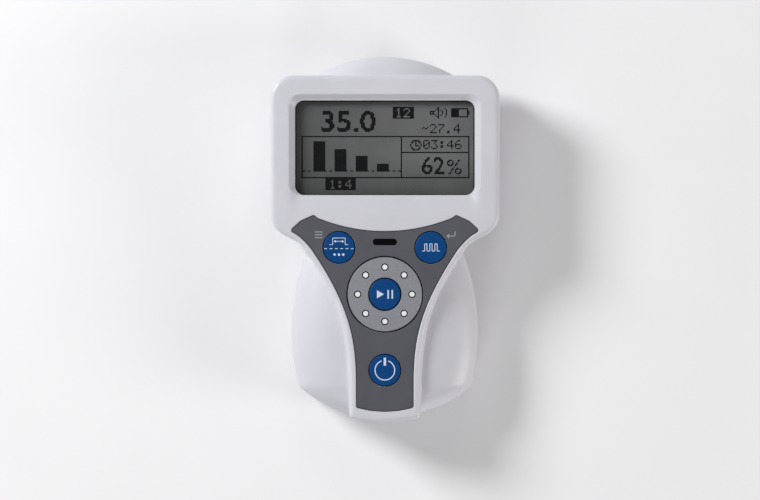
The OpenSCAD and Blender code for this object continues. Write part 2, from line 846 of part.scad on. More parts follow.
module driver_chips() {
    color("Black") {
        chip(20, screen_y + 16.35, 8, 4, 1.6, 5, 2);
        chip(6, screen_y + 16.35, 8, 4, 1.6, 5, 2);
        chip(20, screen_y + 8.35, 8, 4, 1.6, 5, 2);
    }
}

module output_transformer() {
    at = [-14, screen_y - 13.65];
    color("Goldenrod") translate([at[0], at[1], 0]) {
        difference() {
            box(-10, 10, -4, 4, board_z - 12.5, board_z - 1);
            for (x = [-5.5, 5.5])
                box(x - 2, x + 2, -5, 5, board_z - 10, board_z - 3.5);
        }
        box(-7.4, 7.4, -6.5, 6.5, board_z - 9.8, board_z - 3.7);
        box(-9, 9, -6.5, 6.5, board_z - 1.4, board_z);
    }
}

module storage_capacitor() {
    can_r = 5;
    can_l = 20;
    at = [4, screen_y, board_z - can_r - 0.1];
    color("MidnightBlue") translate(at) rotate([0, 90, 0]) cylinder(r = can_r, h = can_l);
    color("Silver") for (y = [-can_r / 2, can_r / 2]) {
        translate([at[0] + can_l - eps, at[1] + y, at[2]]) rotate([0, 90, 0]) cylinder(r = 0.3, h = 3);
        post([at[0] + can_l + 2.7, at[1] + y], at[2], board_z, 0.3);
    }
}

module buzzer() {
    at = [16, screen_y - 17.65];
    color("Black") difference() {
        post(at, board_z - 5, board_z, 8);
        post(at, board_z - 6, board_z - 3.5, 1.2);
    }
}

// ---- Battery

function cell_x(i) = (i - 2.5) * cell_pitch;
// Cells one and three point to the top end, the others to the bottom end
function cell_y0(i) = i % 2 == 1 ? bay_y1 - contact_t - 0.1 - cell_l : bay_y0 + contact_t + 0.1;

module cell(i) {
    nub = 1;
    up = i % 2 == 1;
    translate([cell_x(i), cell_y0(i) + (up ? 0 : cell_l), cell_z]) rotate([up ? -90 : 90, 0, 0])
        rotate_extrude() polygon([
            [0, 0], [cell_d / 2 - 0.4, 0], [cell_d / 2, 0.4], [cell_d / 2, cell_l - nub - 0.4],
            [cell_d / 2 - 0.4, cell_l - nub], [1.9, cell_l - nub], [1.9, cell_l], [0, cell_l]
        ]);
}

module battery_cell_1() { color("SteelBlue") cell(1); }
module battery_cell_2() { color("SteelBlue") cell(2); }
module battery_cell_3() { color("SteelBlue") cell(3); }
module battery_cell_4() { color("SteelBlue") cell(4); }

// Conical coil spring along +Z, as a swept wire
module coil(r0, r1, h, turns, wire) {
    seg = 14;
    sides = 5;
    n = round(turns * seg);
    rings = [
        for (i = [0:n]) let (t = i / n, a = 360 * turns * t, r = r0 + (r1 - r0) * t)
            [for (j = [0:sides - 1]) let (b = 360 * j / sides, q = r + wire * cos(b))
                [q * cos(a), q * sin(a), wire + (h - 2 * wire) * t + wire * sin(b)]]
    ];
    polyhedron(
        points = [for (g = rings) each g],
        faces = concat(
            [[for (j = [sides - 1:-1:0]) j]],
            [for (i = [0:n - 1]) for (j = [0:sides - 1])
                [i * sides + j, i * sides + (j + 1) % sides, (i + 1) * sides + (j + 1) % sides]],
            [for (i = [0:n - 1]) for (j = [0:sides - 1])
                [i * sides + j, (i + 1) * sides + (j + 1) % sides, (i + 1) * sides + j]],
            [[for (j = [0:sides - 1]) n * sides + j]]
        )
    );
}

module battery_springs() {
    color("Silver") for (i = [1:4])
        translate([cell_x(i), i % 2 == 1 ? bay_y0 + contact_t + 0.05 : bay_y1 - contact_t - 0.05, cell_z])
            rotate([i % 2 == 1 ? -90 : 90, 0, 0]) coil(3.9, 2.4, spring_room, 3.5, 0.35);
}

module battery_contacts() {
    h = bay_ceiling - 0.2;
    color("Silver") {
        // Bottom end: one plate joins each pair
        for (x = [-cell_pitch, cell_pitch])
            box(x - 9.5, x + 9.5, bay_y0 + 0.05, bay_y0 + contact_t, 3, h);
        // Top end: one plate joins the middle pair, and each outer plate has a tab up to the board
        box(-9.5, 9.5, bay_y1 - contact_t, bay_y1 - 0.05, 3, h);
        left_right() {
            box(1.5 * cell_pitch - 5, 1.5 * cell_pitch + 5, bay_y1 - contact_t, bay_y1 - 0.05, 3, h);
            box(1.5 * cell_pitch - 1, 1.5 * cell_pitch + 1, bay_y1 - contact_t, bay_y1 - 0.05, h - 1, board_z);
        }
    }
}

// ---- Lead socket

module along_socket(y) {
    translate([0, y, socket_z]) rotate([90, 0, 0]) children();
}

socket_mouth = half_len - 0.6;

module socket_shell() {
    back = 8;
    color("Black") along_socket(socket_mouth) difference() {
        union() {
            cylinder(r = socket_out, h = socket_depth + back);
            translate([0, 0, 8.5]) cylinder(r = socket_out + 1, h = 1.4);
        }
        translate([0, 0, -1]) cylinder(r = socket_r, h = socket_depth + 1);
        translate([0, 0, socket_depth - 1]) cylinder(r = socket_r - 0.6, h = back + 2);
        translate([0, 0, -eps]) cylinder(r1 = socket_r + 0.6, r2 = socket_r, h = 0.6);
    }
}

socket_pins = [for (k = [0:3]) [1.7 * cos(90 * k + 45), 1.7 * sin(90 * k + 45)]];

module socket_insert() {
    color("Ivory") along_socket(socket_mouth - socket_depth) difference() {
        cylinder(r = socket_r - 0.6 - lay_gap / 2, h = 8);
        for (p = socket_pins)
            post(p, -1, 9, 0.65);
    }
}

module socket_contacts() {
    color("Gold") along_socket(socket_mouth - socket_depth - 0.3)
        for (p = socket_pins)
            difference() {
                post(p, 0, 10.5, 0.6);
                post(p, -1, 5, 0.35);
            }
}

front_housing();
rear_housing();
battery_door();
housing_screws();
display_window();
display_gasket();
lcd_glass();
lcd_bezel();
lcd_backlight();
lcd_holder();
lcd_flex();
keypad_overlay();
mode_key();
rate_key();
play_key();
power_key();
mode_plunger();
rate_plunger();
play_plunger();
power_plunger();
mode_switch();
rate_switch();
play_switch();
power_switch();
dial_ring();
dial_markers();
code_wheel();
dial_carrier();
carrier_screws();
detent_spring();
detent_ball();
opto_sensor();
indicator_lens();
indicator_led();
main_board();
board_screws();
processor();
driver_chips();
output_transformer();
storage_capacitor();
buzzer();
battery_cell_1();
battery_cell_2();
battery_cell_3();
battery_cell_4();
battery_springs();
battery_contacts();
socket_shell();
socket_insert();
socket_contacts();
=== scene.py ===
"""Handheld nerve stimulator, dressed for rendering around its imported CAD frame.

Lengths in this file are millimetres until mesh_piece() turns them into metres.
"""

import json
import math

import bpy
import bmesh
import numpy as np
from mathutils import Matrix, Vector
from mathutils.geometry import delaunay_2d_cdt


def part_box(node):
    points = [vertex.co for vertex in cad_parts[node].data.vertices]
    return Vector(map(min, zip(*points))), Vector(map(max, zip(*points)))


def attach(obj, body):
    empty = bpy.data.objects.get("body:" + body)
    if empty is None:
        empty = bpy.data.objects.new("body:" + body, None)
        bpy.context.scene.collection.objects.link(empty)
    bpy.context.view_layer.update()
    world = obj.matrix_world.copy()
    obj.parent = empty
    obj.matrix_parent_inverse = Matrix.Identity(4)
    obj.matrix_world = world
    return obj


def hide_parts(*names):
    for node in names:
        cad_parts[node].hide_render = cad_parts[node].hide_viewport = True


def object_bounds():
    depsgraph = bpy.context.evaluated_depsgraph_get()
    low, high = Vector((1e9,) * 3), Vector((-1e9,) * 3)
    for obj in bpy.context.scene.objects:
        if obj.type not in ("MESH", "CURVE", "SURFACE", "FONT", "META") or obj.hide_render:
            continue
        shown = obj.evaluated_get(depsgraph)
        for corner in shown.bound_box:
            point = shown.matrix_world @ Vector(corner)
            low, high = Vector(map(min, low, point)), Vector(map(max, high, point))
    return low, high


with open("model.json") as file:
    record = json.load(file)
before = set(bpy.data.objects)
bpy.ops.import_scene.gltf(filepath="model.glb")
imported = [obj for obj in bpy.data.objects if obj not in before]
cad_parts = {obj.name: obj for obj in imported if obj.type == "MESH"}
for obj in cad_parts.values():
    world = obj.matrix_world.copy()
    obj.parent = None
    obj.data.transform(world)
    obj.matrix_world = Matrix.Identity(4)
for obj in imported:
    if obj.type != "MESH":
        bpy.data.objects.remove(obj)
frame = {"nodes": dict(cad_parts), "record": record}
cad_box = [list(corner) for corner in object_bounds()]
MM = 0.001


def box_mm(node):
    """A node's lowest and highest corners, in millimetres."""
    low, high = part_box(node)
    return np.array(low) / MM, np.array(high) / MM


# ---- Driving dimensions, read from the frame

CASE_LOW, CASE_HIGH = box_mm("front_housing")
HALF_LEN = CASE_HIGH[1]
HEAD_HW = CASE_HIGH[0]
FRONT_Z = CASE_HIGH[2]
PART_Z = CASE_LOW[2]
PANE_LOW, PANE_HIGH = box_mm("display_window")
OVERLAY_LOW, OVERLAY_HIGH = box_mm("keypad_overlay")
DIAL_HIGH = box_mm("dial_ring")[1]
LAMP_LOW, LAMP_HIGH = box_mm("indicator_lens")
GLASS_HIGH = box_mm("lcd_glass")[1]
SOCKET_LOW, SOCKET_HIGH = box_mm("socket_shell")
DOOR_HIGH = box_mm("battery_door")[1]

KEYS = ("mode_key", "rate_key", "play_key", "power_key")
KEY_AT = {name: (sum(box_mm(name)) / 2)[:2] for name in KEYS}
KEY_TOP = box_mm("mode_key")[1][2]
KEY_FLANGE = 0.6
KEY_R = box_mm("play_key")[1][0] - KEY_FLANGE
MOVE_GAP = 0.3
LAY_GAP = 0.1
DIAL_AT = KEY_AT["play_key"]
DIAL_FLANGE = 1.2
DIAL_R = DIAL_HIGH[0] - DIAL_FLANGE
FACE_IN = PANE_HIGH[2]
FLOOR_Z = OVERLAY_LOW[2]

# ---- Casing, as in the CAD part

BACK_EDGE_R = 6.0
HEAD_BACK_Z = 9.0
HEAD_BACK_R = 3.5
FLOOR_T = 2.0
DOOR_T = DOOR_HIGH[2]
DOOR_END = DOOR_HIGH[1]
TONGUE_HW = DOOR_HIGH[0]
TONGUE_Z = 1.0
DOOR_HW = TONGUE_HW - 1.2
BAY_HW = DOOR_HW - 2.0
BAY_Y0 = -60.0
BAY_Y1 = DOOR_END - 1.5
BAY_CEILING = 12.8
BAY_WALL = 1.5
SOCKET_R = 5.2
SOCKET_LENGTH = 8.0
HEAD_SCREWS = ((40.2, 13.0), (40.2, 57.5))
GRIP_SCREW = (30.5, -45.0)
SCREW_HOLE_R = 2.3
HEAD_SCREW_Z = HEAD_BACK_Z + 2.5
GRIP_SCREW_Z = 4.0
POST_R = 2.5
WALL = 2.2
EDGE_R = 2.0
HEAD_TOP = HALF_LEN - 7.75
HEAD_CORNER_R = 9.0
GRIP_HW = 36.8
GRIP_Y = -36.4
GRIP_SIDE_R = 82.9
GRIP_END_R = 53.5
GRIP_CORNER_R = 5.0
FOOT_OUT = 1.0
FOOT_R = 63.7
STEM_HW = 13.9
CROWN_Z = 28.5
BULGE_R = 54.6
HUMP_HW = 37.0
NECK = np.array([30.95, -5.3])
NECK_MID = np.array([36.0, -0.4])
LCD_COLS, LCD_ROWS, LCD_PITCH = 128, 64, 0.52
SCREEN_Y = (PANE_LOW[1] + PANE_HIGH[1]) / 2
PICTURE_Z = GLASS_HIGH[2]
PANE_LAP = 1.6
WINDOW_HW = (PANE_HIGH[0] - PANE_LOW[0]) / 2 - PANE_LAP
WINDOW_Y0 = PANE_LOW[1] + PANE_LAP
WINDOW_Y1 = PANE_HIGH[1] - PANE_LAP
WINDOW_R = 3.5

# Recess round the window: its reach, and the lip at the pane as shares of its width and depth
WINDOW_FLARE = 2.5
FLARE_BELOW = 0.4
LIP_SHARE = 0.12
LIP_RISE = 0.12
RAMP_DROP = 1.6
RAMP_LENGTH = 9.0
RAMP_HW = 33.0

# ---- How the surfaces are drawn

STEP = 0.8
SMOOTH_BELOW = math.radians(32)
WELD = 2e-4
PART_GROOVE = 0.22
ON_LINE = 0.02
PRINT_LIFT = 0.03


# ---- Plane outlines. A corner is (x, y) or (x, y, radius).

def arc(centre, radius, a0, a1, count):
    angles = np.radians(np.linspace(a0, a1, count + 1))
    return [(centre[0] + radius * math.cos(a), centre[1] + radius * math.sin(a)) for a in angles]


def bezier(a, b, c, d, count):
    a, b, c, d = (np.asarray(p, float) for p in (a, b, c, d))
    points = []
    for t in np.linspace(0, 1, count + 1)[1:]:
        s = 1 - t
        points.append(tuple(s**3 * a + 3 * s * s * t * b + 3 * s * t * t * c + t**3 * d))
    return points


def meet(c0, r0, c1, r1):
    """The right-hand meeting point of two circles."""
    c0, c1 = np.asarray(c0, float), np.asarray(c1, float)
    gap = np.linalg.norm(c1 - c0)
    along = (c1 - c0) / gap
    a = (gap**2 + r0**2 - r1**2) / (2 * gap)
    return c0 + a * along + math.sqrt(r0**2 - a**2) * np.array([along[1], -along[0]])


def both_sides(half):
    return list(half) + [(-p[0], *p[1:]) for p in reversed(half) if p[0] > 1e-6]


def inset(corners, d):
    """Moves each side of a closed outline inwards by d."""
    out = []
    for i, corner in enumerate(corners):
        p = np.array(corner[:2])
        u = p - np.array(corners[i - 1][:2])
        v = np.array(corners[(i + 1) % len(corners)][:2]) - p
        u, v = u / np.linalg.norm(u), v / np.linalg.norm(v)
        q = p + d * np.array([-u[1] - v[1], u[0] + v[0]]) / (1 + u @ v)
        out.append((*q, max(corner[2] - d, 0.4)) if len(corner) > 2 else tuple(q))
    return out


def fillet(corners):
    """Rounds the corners that have a radius and fills long sides with points a step apart."""
    points = []
    for i, corner in enumerate(corners):
        p = np.array(corner[:2])
        if len(corner) < 3:
            points.append(p)
            continue
        u = np.array(corners[i - 1][:2]) - p
        v = np.array(corners[(i + 1) % len(corners)][:2]) - p
        u, v = u / np.linalg.norm(u), v / np.linalg.norm(v)
        half = math.acos(np.clip(u @ v, -1, 1)) / 2
        r = corner[2]
        centre = p + (u + v) / np.linalg.norm(u + v) * r / math.sin(half)
        spoke = p + u * r / math.tan(half) - centre
        turn = math.pi - 2 * half
        count = max(6, math.ceil(r * turn / (STEP / 2)))
        for k in range(count + 1):
            a = turn * k / count
            points.append(centre + np.array([
                spoke[0] * math.cos(a) - spoke[1] * math.sin(a),
                spoke[0] * math.sin(a) + spoke[1] * math.cos(a)]))
    filled = []
    for p, q in zip(points, points[1:] + points[:1]):
        count = max(1, round(np.linalg.norm(q - p) / STEP))
        filled += [p + (q - p) * k / count for k in range(count)]
    return np.array(filled)


def insets(corners, depths):
    return [fillet(inset(corners, d)) for d in depths]


def circle(centre, radius, count=96):
    return np.array(arc(centre, radius, 0, 360, count)[:-1])


def mirrored_circles(centres, radius):
    return [circle((side * x, y), radius, 32) for side in (-1, 1) for x, y in centres]


def rounded_rect(x0, x1, y0, y1, r):
    return [(x1, y0, r), (x1, y1, r), (x0, y1, r), (x0, y0, r)]


def rectangle(x0, x1, y0, y1):
    return fillet([(x1, y0), (x1, y1), (x0, y1), (x0, y0)])


def flared(share, radius):
    """The window's opening, widened by a share of the recess's reach."""
    return fillet(rounded_rect(
        -WINDOW_HW - share * WINDOW_FLARE, WINDOW_HW + share * WINDOW_FLARE,
        WINDOW_Y0 - share * FLARE_BELOW, WINDOW_Y1 + share * WINDOW_FLARE, radius))


def foot_y(x):
    """Height of the foot's curved edge on the plan, at x."""
    return -HALF_LEN + FOOT_R - math.sqrt(FOOT_R**2 - x * x)


shoulder = (
    bezier(NECK, NECK + [0.59, 0.81], NECK_MID - [3.53, 1.88], NECK_MID, 10)
    + bezier(NECK_MID, NECK_MID + [2.65, 1.41], (HEAD_HW, 3.0), (HEAD_HW, 10.0), 24)
    + [(HEAD_HW, HEAD_TOP, HEAD_CORNER_R)])

front_corners = both_sides(
    [(0.0, -HALF_LEN)]
    + [(x, foot_y(x)) for x in (3.0, 6.0, 9.0)]
    + [(STEM_HW, foot_y(STEM_HW), 1.5), (STEM_HW, -60.0)]
    + bezier((STEM_HW, -60.0), (STEM_HW, -31.0), NECK - [9.85, 12.6], NECK, 60)
    + shoulder)

head_corners = both_sides([tuple(NECK - [2.5, 4.0]), tuple(NECK)] + shoulder)

grip_end = (0.0, -HALF_LEN + FOOT_OUT + GRIP_END_R)
grip_side = (GRIP_HW - GRIP_SIDE_R, GRIP_Y)
grip_corner = meet(grip_side, GRIP_SIDE_R, grip_end, GRIP_END_R)
side_a0 = math.degrees(math.asin((grip_corner[1] - GRIP_Y) / GRIP_SIDE_R))
side_a1 = math.degrees(math.asin((NECK[1] - GRIP_Y) / GRIP_SIDE_R))
side_points = arc(grip_side, GRIP_SIDE_R, side_a0, side_a1, 60)
hip = np.array(side_points[-1])
end_a = -math.degrees(math.acos(grip_corner[0] / GRIP_END_R))
bulge = (0.0, HALF_LEN - BULGE_R)
bulge_a = math.degrees(math.acos(HUMP_HW / BULGE_R))
barrel_corners = both_sides(
    [p for p in arc(grip_end, GRIP_END_R, -90, end_a, 40) if p[0] < grip_corner[0] - 4]
    + [(*grip_corner, GRIP_CORNER_R)]
    + [p for p in side_points if p[1] > grip_corner[1] + 4]
    + bezier(hip, hip + [-1.5, 5], (HUMP_HW, 8.0), (HUMP_HW, 20.0), 20)
    + [(HUMP_HW, bulge[1] + BULGE_R * math.sin(math.radians(bulge_a)), 8.0)]
    + [p for p in arc(bulge, BULGE_R, bulge_a, 90, 40) if p[0] < HUMP_HW - 6])

overlay_corners = both_sides(
    [(0.0, -67.85), (5.6, -67.45), (11.2, -66.3, 1.0), (11.2, -58.0)]
    + bezier((11.2, -58.0), (11.2, -42.0), (12.3, -28.5), (28.5, -4.5), 50)
    + bezier((28.5, -4.5), (31.0, -1.3), (33.6, 1.2), (35.6, 2.1), 8)
    + [(37.2, 3.1, 1.0), (33.0, 6.9), (27.9, 9.2, 1.0)]
    + arc((0.0, 72.1), 69.3, -67.5, -90, 30))


# ---- Distances to outlines

def inside(points, outline):
    """True where a point lies inside a closed outline."""
    x, y = points[:, 0], points[:, 1]
    result = np.zeros(len(points), bool)
    for (x0, y0), (x1, y1) in zip(outline, np.roll(outline, -1, axis=0)):
        if y0 == y1:
            continue
        crosses = (y0 > y) != (y1 > y)
        result ^= crosses & (x < (x1 - x0) * (y - y0) / (y1 - y0) + x0)
    return result


def depth(points, outline):
    """Distance to a closed outline, positive inside it."""
    best = np.full(len(points), 1e9)
    for p, q in zip(outline, np.roll(outline, -1, axis=0)):
        side = q - p
        t = np.clip((points - p) @ side / (side @ side), 0, 1)
        gap = points - p - t[:, None] * side
        best = np.minimum(best, (gap * gap).sum(axis=1))
    return np.where(inside(points, outline), 1, -1) * np.sqrt(best)


def eased(t):
    """A smooth rise from 0 to 1."""
    t = np.clip(t, 0, 1)
    return t * t * (3 - 2 * t)


def round_over(d, r):
    """Drop below the face of a convex edge of radius r, at the depth d from the edge."""
    return r - np.sqrt(np.maximum(r * r - (r - np.clip(d, 0, r))**2, 0))


front_line = fillet(front_corners)
barrel_line = fillet(barrel_corners)
overlay_line = fillet(inset(overlay_corners, -LAY_GAP))
opening_line = flared(0.0, WINDOW_R)
flare_line = flared(1.0, WINDOW_R + 1.0)
right_half = barrel_line[barrel_line[:, 0] >= 0]
right_half = right_half[np.argsort(right_half[:, 1])]


def barrel_height(points):
    """Height of the crowned barrel under the front slab."""
    foot, roll = PART_Z + 1.5, 56.0
    width = np.maximum(np.interp(points[:, 1], right_half[:, 1], right_half[:, 0]), 0.3)
    # Along its length it rolls down towards both ends, and across it towards both sides
    end = np.clip((np.abs(points[:, 1]) - roll) / (HALF_LEN + 0.4 - roll), 0, 1)
    top = foot + (CROWN_Z - foot) * (1 - end**2.2)**0.6
    t = np.clip(np.abs(points[:, 0]) / width, 0, 1)
    return foot + (top - foot) * (1 - t**2.6)**0.66


def recess_rise(t):
    """Height of the recess's wall at the share t of its width: a lip, a slope, and a rolled top."""
    roll, slope, roll_start, bend = 0.92, 1.042, 0.959, 6.51
    up = np.maximum(t - LIP_SHARE, 0) / (1 - LIP_SHARE)
    rolled = roll_start + slope * (up - roll) - bend * (up - roll)**2
    rise = np.where(up < roll, slope * up, rolled)
    return np.minimum(LIP_RISE + (1 - LIP_RISE) * rise, 1)


def front_height(points):
    """Height of the front housing's outer surface."""
    cove, pocket_edge = 0.7, 0.35
    d = depth(points, front_line)
    low = barrel_height(points) + round_over(-d, cove)
    x, y = np.abs(points[:, 0]), points[:, 1]
    high = FRONT_Z - round_over(d, EDGE_R)
    # Window recess
    outer = np.maximum(depth(points, flare_line), 0)
    inner = np.maximum(-depth(points, opening_line), 0)
    t = np.clip(inner / np.maximum(inner + outer, 1e-6), 0, 1)
    wall = FACE_IN + (FRONT_Z - FACE_IN) * recess_rise(t)
    high = np.where(t < 1, np.minimum(high, wall), high)
    # Ramp that falls towards the window's lower edge
    u = np.clip((y - (WINDOW_Y0 - RAMP_LENGTH)) / RAMP_LENGTH, 0, 1)
    fade = (1 - eased((x - RAMP_HW) / 5.5)) * (1 - eased((y - WINDOW_Y0) / 4))
    high = np.minimum(high, FRONT_Z - RAMP_DROP * u**1.5 * fade)
    # Pocket of the overlay
    pocket = depth(points, overlay_line)
    high = np.where(pocket >= -1e-4, FLOOR_Z, high - round_over(-pocket, pocket_edge))
    return np.where(d > -1e-4, high, low)


def inner_height(points):
    """Height of the front housing's inner surface."""
    in_slab = depth(points, front_line) > WALL - 1e-4
    return np.where(in_slab, FACE_IN, np.minimum(barrel_height(points) - WALL, FACE_IN - 0.5))


# ---- Meshes

def grid(spacing):
    """Points on a triangular grid over the footprint."""
    rows = np.arange(-HALF_LEN, HALF_LEN, spacing * 0.866)
    cols = np.arange(-HEAD_HW, HEAD_HW, spacing)
    return np.array([(x + (i % 2) * spacing / 2, y) for i, y in enumerate(rows) for x in cols])


def flat_faces(flat, edges, output, tolerance):
    """Triangles over the plane that follow the given edges."""
    verts, _, faces, *_ = delaunay_2d_cdt(flat, edges, [], output, tolerance)
    return np.array([v[:] for v in verts]), np.array(faces)


def triangulate(loops, keep, spacing=1.3):
    """Triangles where keep() is true, on the loops' points and a grid's points between them."""
    edges, start = [], 0
    for loop in loops:
        n = len(loop)
        edges += [(start + i, start + (i + 1) % n) for i in range(n)]
        start += n
    fixed = np.vstack(loops)
    cells = {}
    for p in fixed:
        cells.setdefault((int(p[0] // spacing), int(p[1] // spacing)), []).append(p)
    free = []
    for p in grid(spacing):
        cx, cy = int(p[0] // spacing), int(p[1] // spacing)
        near = [q for i in (-1, 0, 1) for j in (-1, 0, 1) for q in cells.get((cx + i, cy + j), ())]
        if not near or ((np.array(near) - p)**2).sum(axis=1).min() > (0.5 * spacing)**2:
            free.append(p)
    points = np.vstack([fixed, free])
    verts, faces = flat_faces([Vector(p) for p in points], edges, 0, 1e-7)
    return verts, faces[keep(verts[faces].mean(axis=1))]


def smooth(mesh):
    mesh.shade_smooth()
    mesh.set_sharp_from_angle(angle=SMOOTH_BELOW)


def mesh_piece(name, parts, body, material, weld=True):
    """One object from (points, faces) parts in millimetres, welded and smoothed by angle."""
    bm = bmesh.new()
    for points, faces in parts:
        verts = [bm.verts.new(Vector(p) * MM) for p in points]
        for f in faces:
            bm.faces.new([verts[i] for i in f])
    if weld:
        bmesh.ops.remove_doubles(bm, verts=bm.verts, dist=WELD * MM)
        loose = [v for v in bm.verts if not v.link_faces]
        bmesh.ops.delete(bm, geom=loose, context="VERTS")
        bmesh.ops.recalc_face_normals(bm, faces=bm.faces)
    mesh = bpy.data.meshes.new(name)
    bm.to_mesh(mesh)
    bm.free()
    mesh.materials.append(material)
    smooth(mesh)
    obj = bpy.data.objects.new(name, mesh)
    bpy.context.scene.collection.objects.link(obj)
    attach(obj, body)
    return obj


def lamp_hole():
    """The rounded slot for the indicator's lens."""
    radius = (LAMP_HIGH[1] - LAMP_LOW[1]) / 2
    reach = (LAMP_HIGH[0] - LAMP_LOW[0]) / 2 - radius
    y = (LAMP_LOW[1] + LAMP_HIGH[1]) / 2
    radius += LAY_GAP
    return np.array(arc((reach, y), radius, -90, 90, 16) + arc((-reach, y), radius, 90, 270, 16))


def band(n):
    """Four-cornered faces between two rings of n points."""
    return [(i, (i + 1) % n, n + (i + 1) % n, n + i) for i in range(n)]


def wall_between(loop, z_low, z_high):
    """An upright wall over a closed loop, between two heights."""
    n = len(loop)
    rings = [np.column_stack([loop, np.full(n, z)]) for z in (z_low, z_high)]
    return np.vstack(rings), band(n)


def upright(verts, levels, edge, start, end):
    """Corners of the upright face on an edge, from its start heights to its end heights.

    levels holds, for each point, the heights at which other faces meet it: the sides get a corner
    at each of them. The last two corners are at the end heights.
    """
    def between(k):
        low, high = sorted((start[k], end[k]))
        found = [z for z in levels[edge[k]] if low + 1e-3 < z < high - 1e-3]
        return [(*verts[edge[k]], z) for z in sorted(found, reverse=bool(start[k] > end[k]))]

    a, b = verts[edge[0]], verts[edge[1]]
    return [*between(0)[::-1], (*a, start[0]), (*b, start[1]), *between(1),
            (*b, end[1]), (*a, end[0])]


def edge_along(verts, rim_z, line):
    """The points of a surface's edge that follow a closed line, in order."""
    rim = np.array(list(rim_z))
    on_line = np.abs(depth((verts[rim[:, 0]] + verts[rim[:, 1]]) / 2, line)) < ON_LINE
    after = dict(rim[on_line].tolist())
    chain = [next(iter(after))]
    while after[chain[-1]] != chain[0]:
        chain.append(after[chain[-1]])
    return verts[chain]


def unit(vector):
    return vector / max(np.linalg.norm(vector), 1e-9)


def sides_and_rim(surfaces, z, holes, keep):
    """Upright sides from each surface's edge to the height z, and the flat rim between them.

    A surface is (points on the plane, heights of its edge, levels), as stepped() returns them. The
    first is the outer one: its side is chamfered at z, for the parting line. Edges round a hole get
    no side. keep() says where the rim is.
    """
    parts, edges, flat = [], [], []
    for index, (verts, rim_z, levels) in enumerate(surfaces):
        points, sides = [], []
        rim = np.array(list(rim_z))
        mid = (verts[rim[:, 0]] + verts[rim[:, 1]]) / 2
        for hole in holes:
            away = np.abs(depth(mid, hole)) > ON_LINE
            rim, mid = rim[away], mid[away]
        inwards = {}
        for a, b in rim:
            run = verts[b] - verts[a]
            for end in (a, b):
                inwards[end] = inwards.get(end, 0) + unit(np.array([-run[1], run[0]]))
        groove = PART_GROOVE if index == 0 else 0.0
        for a, b in rim:
            p_in, q_in = (verts[v] + groove * unit(inwards[v]) for v in (a, b))
            near = z + math.copysign(groove, rim_z[(a, b)][0] - z)
            face = upright(verts, levels, (a, b), rim_z[(a, b)], (near, near))
            k, n = len(points), len(points) + len(face)
            points += [*face, (*q_in, z), (*p_in, z)]
            sides += [tuple(range(k, n)), (n - 1, n - 2, n, n + 1)]
            edges.append((len(flat), len(flat) + 1))
            flat += [Vector(p_in), Vector(q_in)]
        parts.append((np.array(points), sides))
    verts, faces = flat_faces(flat, edges, 1, 1e-6)
    faces = faces[keep(verts[faces].mean(axis=1))]
    parts.append((np.column_stack([verts, np.full(len(verts), z)]), faces))
    return parts


def stepped(verts, faces, areas):
    """A surface in several areas of their own height, with upright walls between them.

    areas lists (is_in(points), height(points)); a triangle belongs to the last area that it is in.
    Returns the parts, the heights of each outer edge, and the heights that meet at each point.
    """
    mid = verts[faces].mean(axis=1)
    label = np.zeros(len(faces), int)
    for k, (is_in, _) in enumerate(areas):
        label[is_in(mid)] = k
    heights = [height(verts) for _, height in areas]
    parts = [(np.column_stack([verts, z]), faces[label == k]) for k, z in enumerate(heights)]
    owner = {}
    for f, k in zip(faces, label):
        for a, b in ((f[0], f[1]), (f[1], f[2]), (f[2], f[0])):
            owner[(a, b)] = k
    levels = {}
    for f, k in zip(faces, label):
        for v in f:
            levels.setdefault(v, set()).add(float(heights[k][v]))
    points, walls, rim_z = [], [], {}
    for (a, b), k in owner.items():
        other = owner.get((b, a), -1)
        if other < 0:
            rim_z[(a, b)] = heights[k][a], heights[k][b]
        elif other > k:
            face = upright(verts, levels, (a, b), heights[k][[a, b]], heights[other][[a, b]])
            walls.append(tuple(range(len(points), len(points) + len(face))))
            points += face
    parts.append((np.array(points), walls))
    return parts, rim_z, levels


def within(line):
    return lambda points: inside(points, line)


def flat_at(z):
    return lambda points: np.full(len(points), float(z))


def anywhere(points):
    return np.ones(len(points), bool)


def back_height(points):
    """Height of the back of the grip, hump and socket bulge."""
    return round_over(depth(points, barrel_line), BACK_EDGE_R)


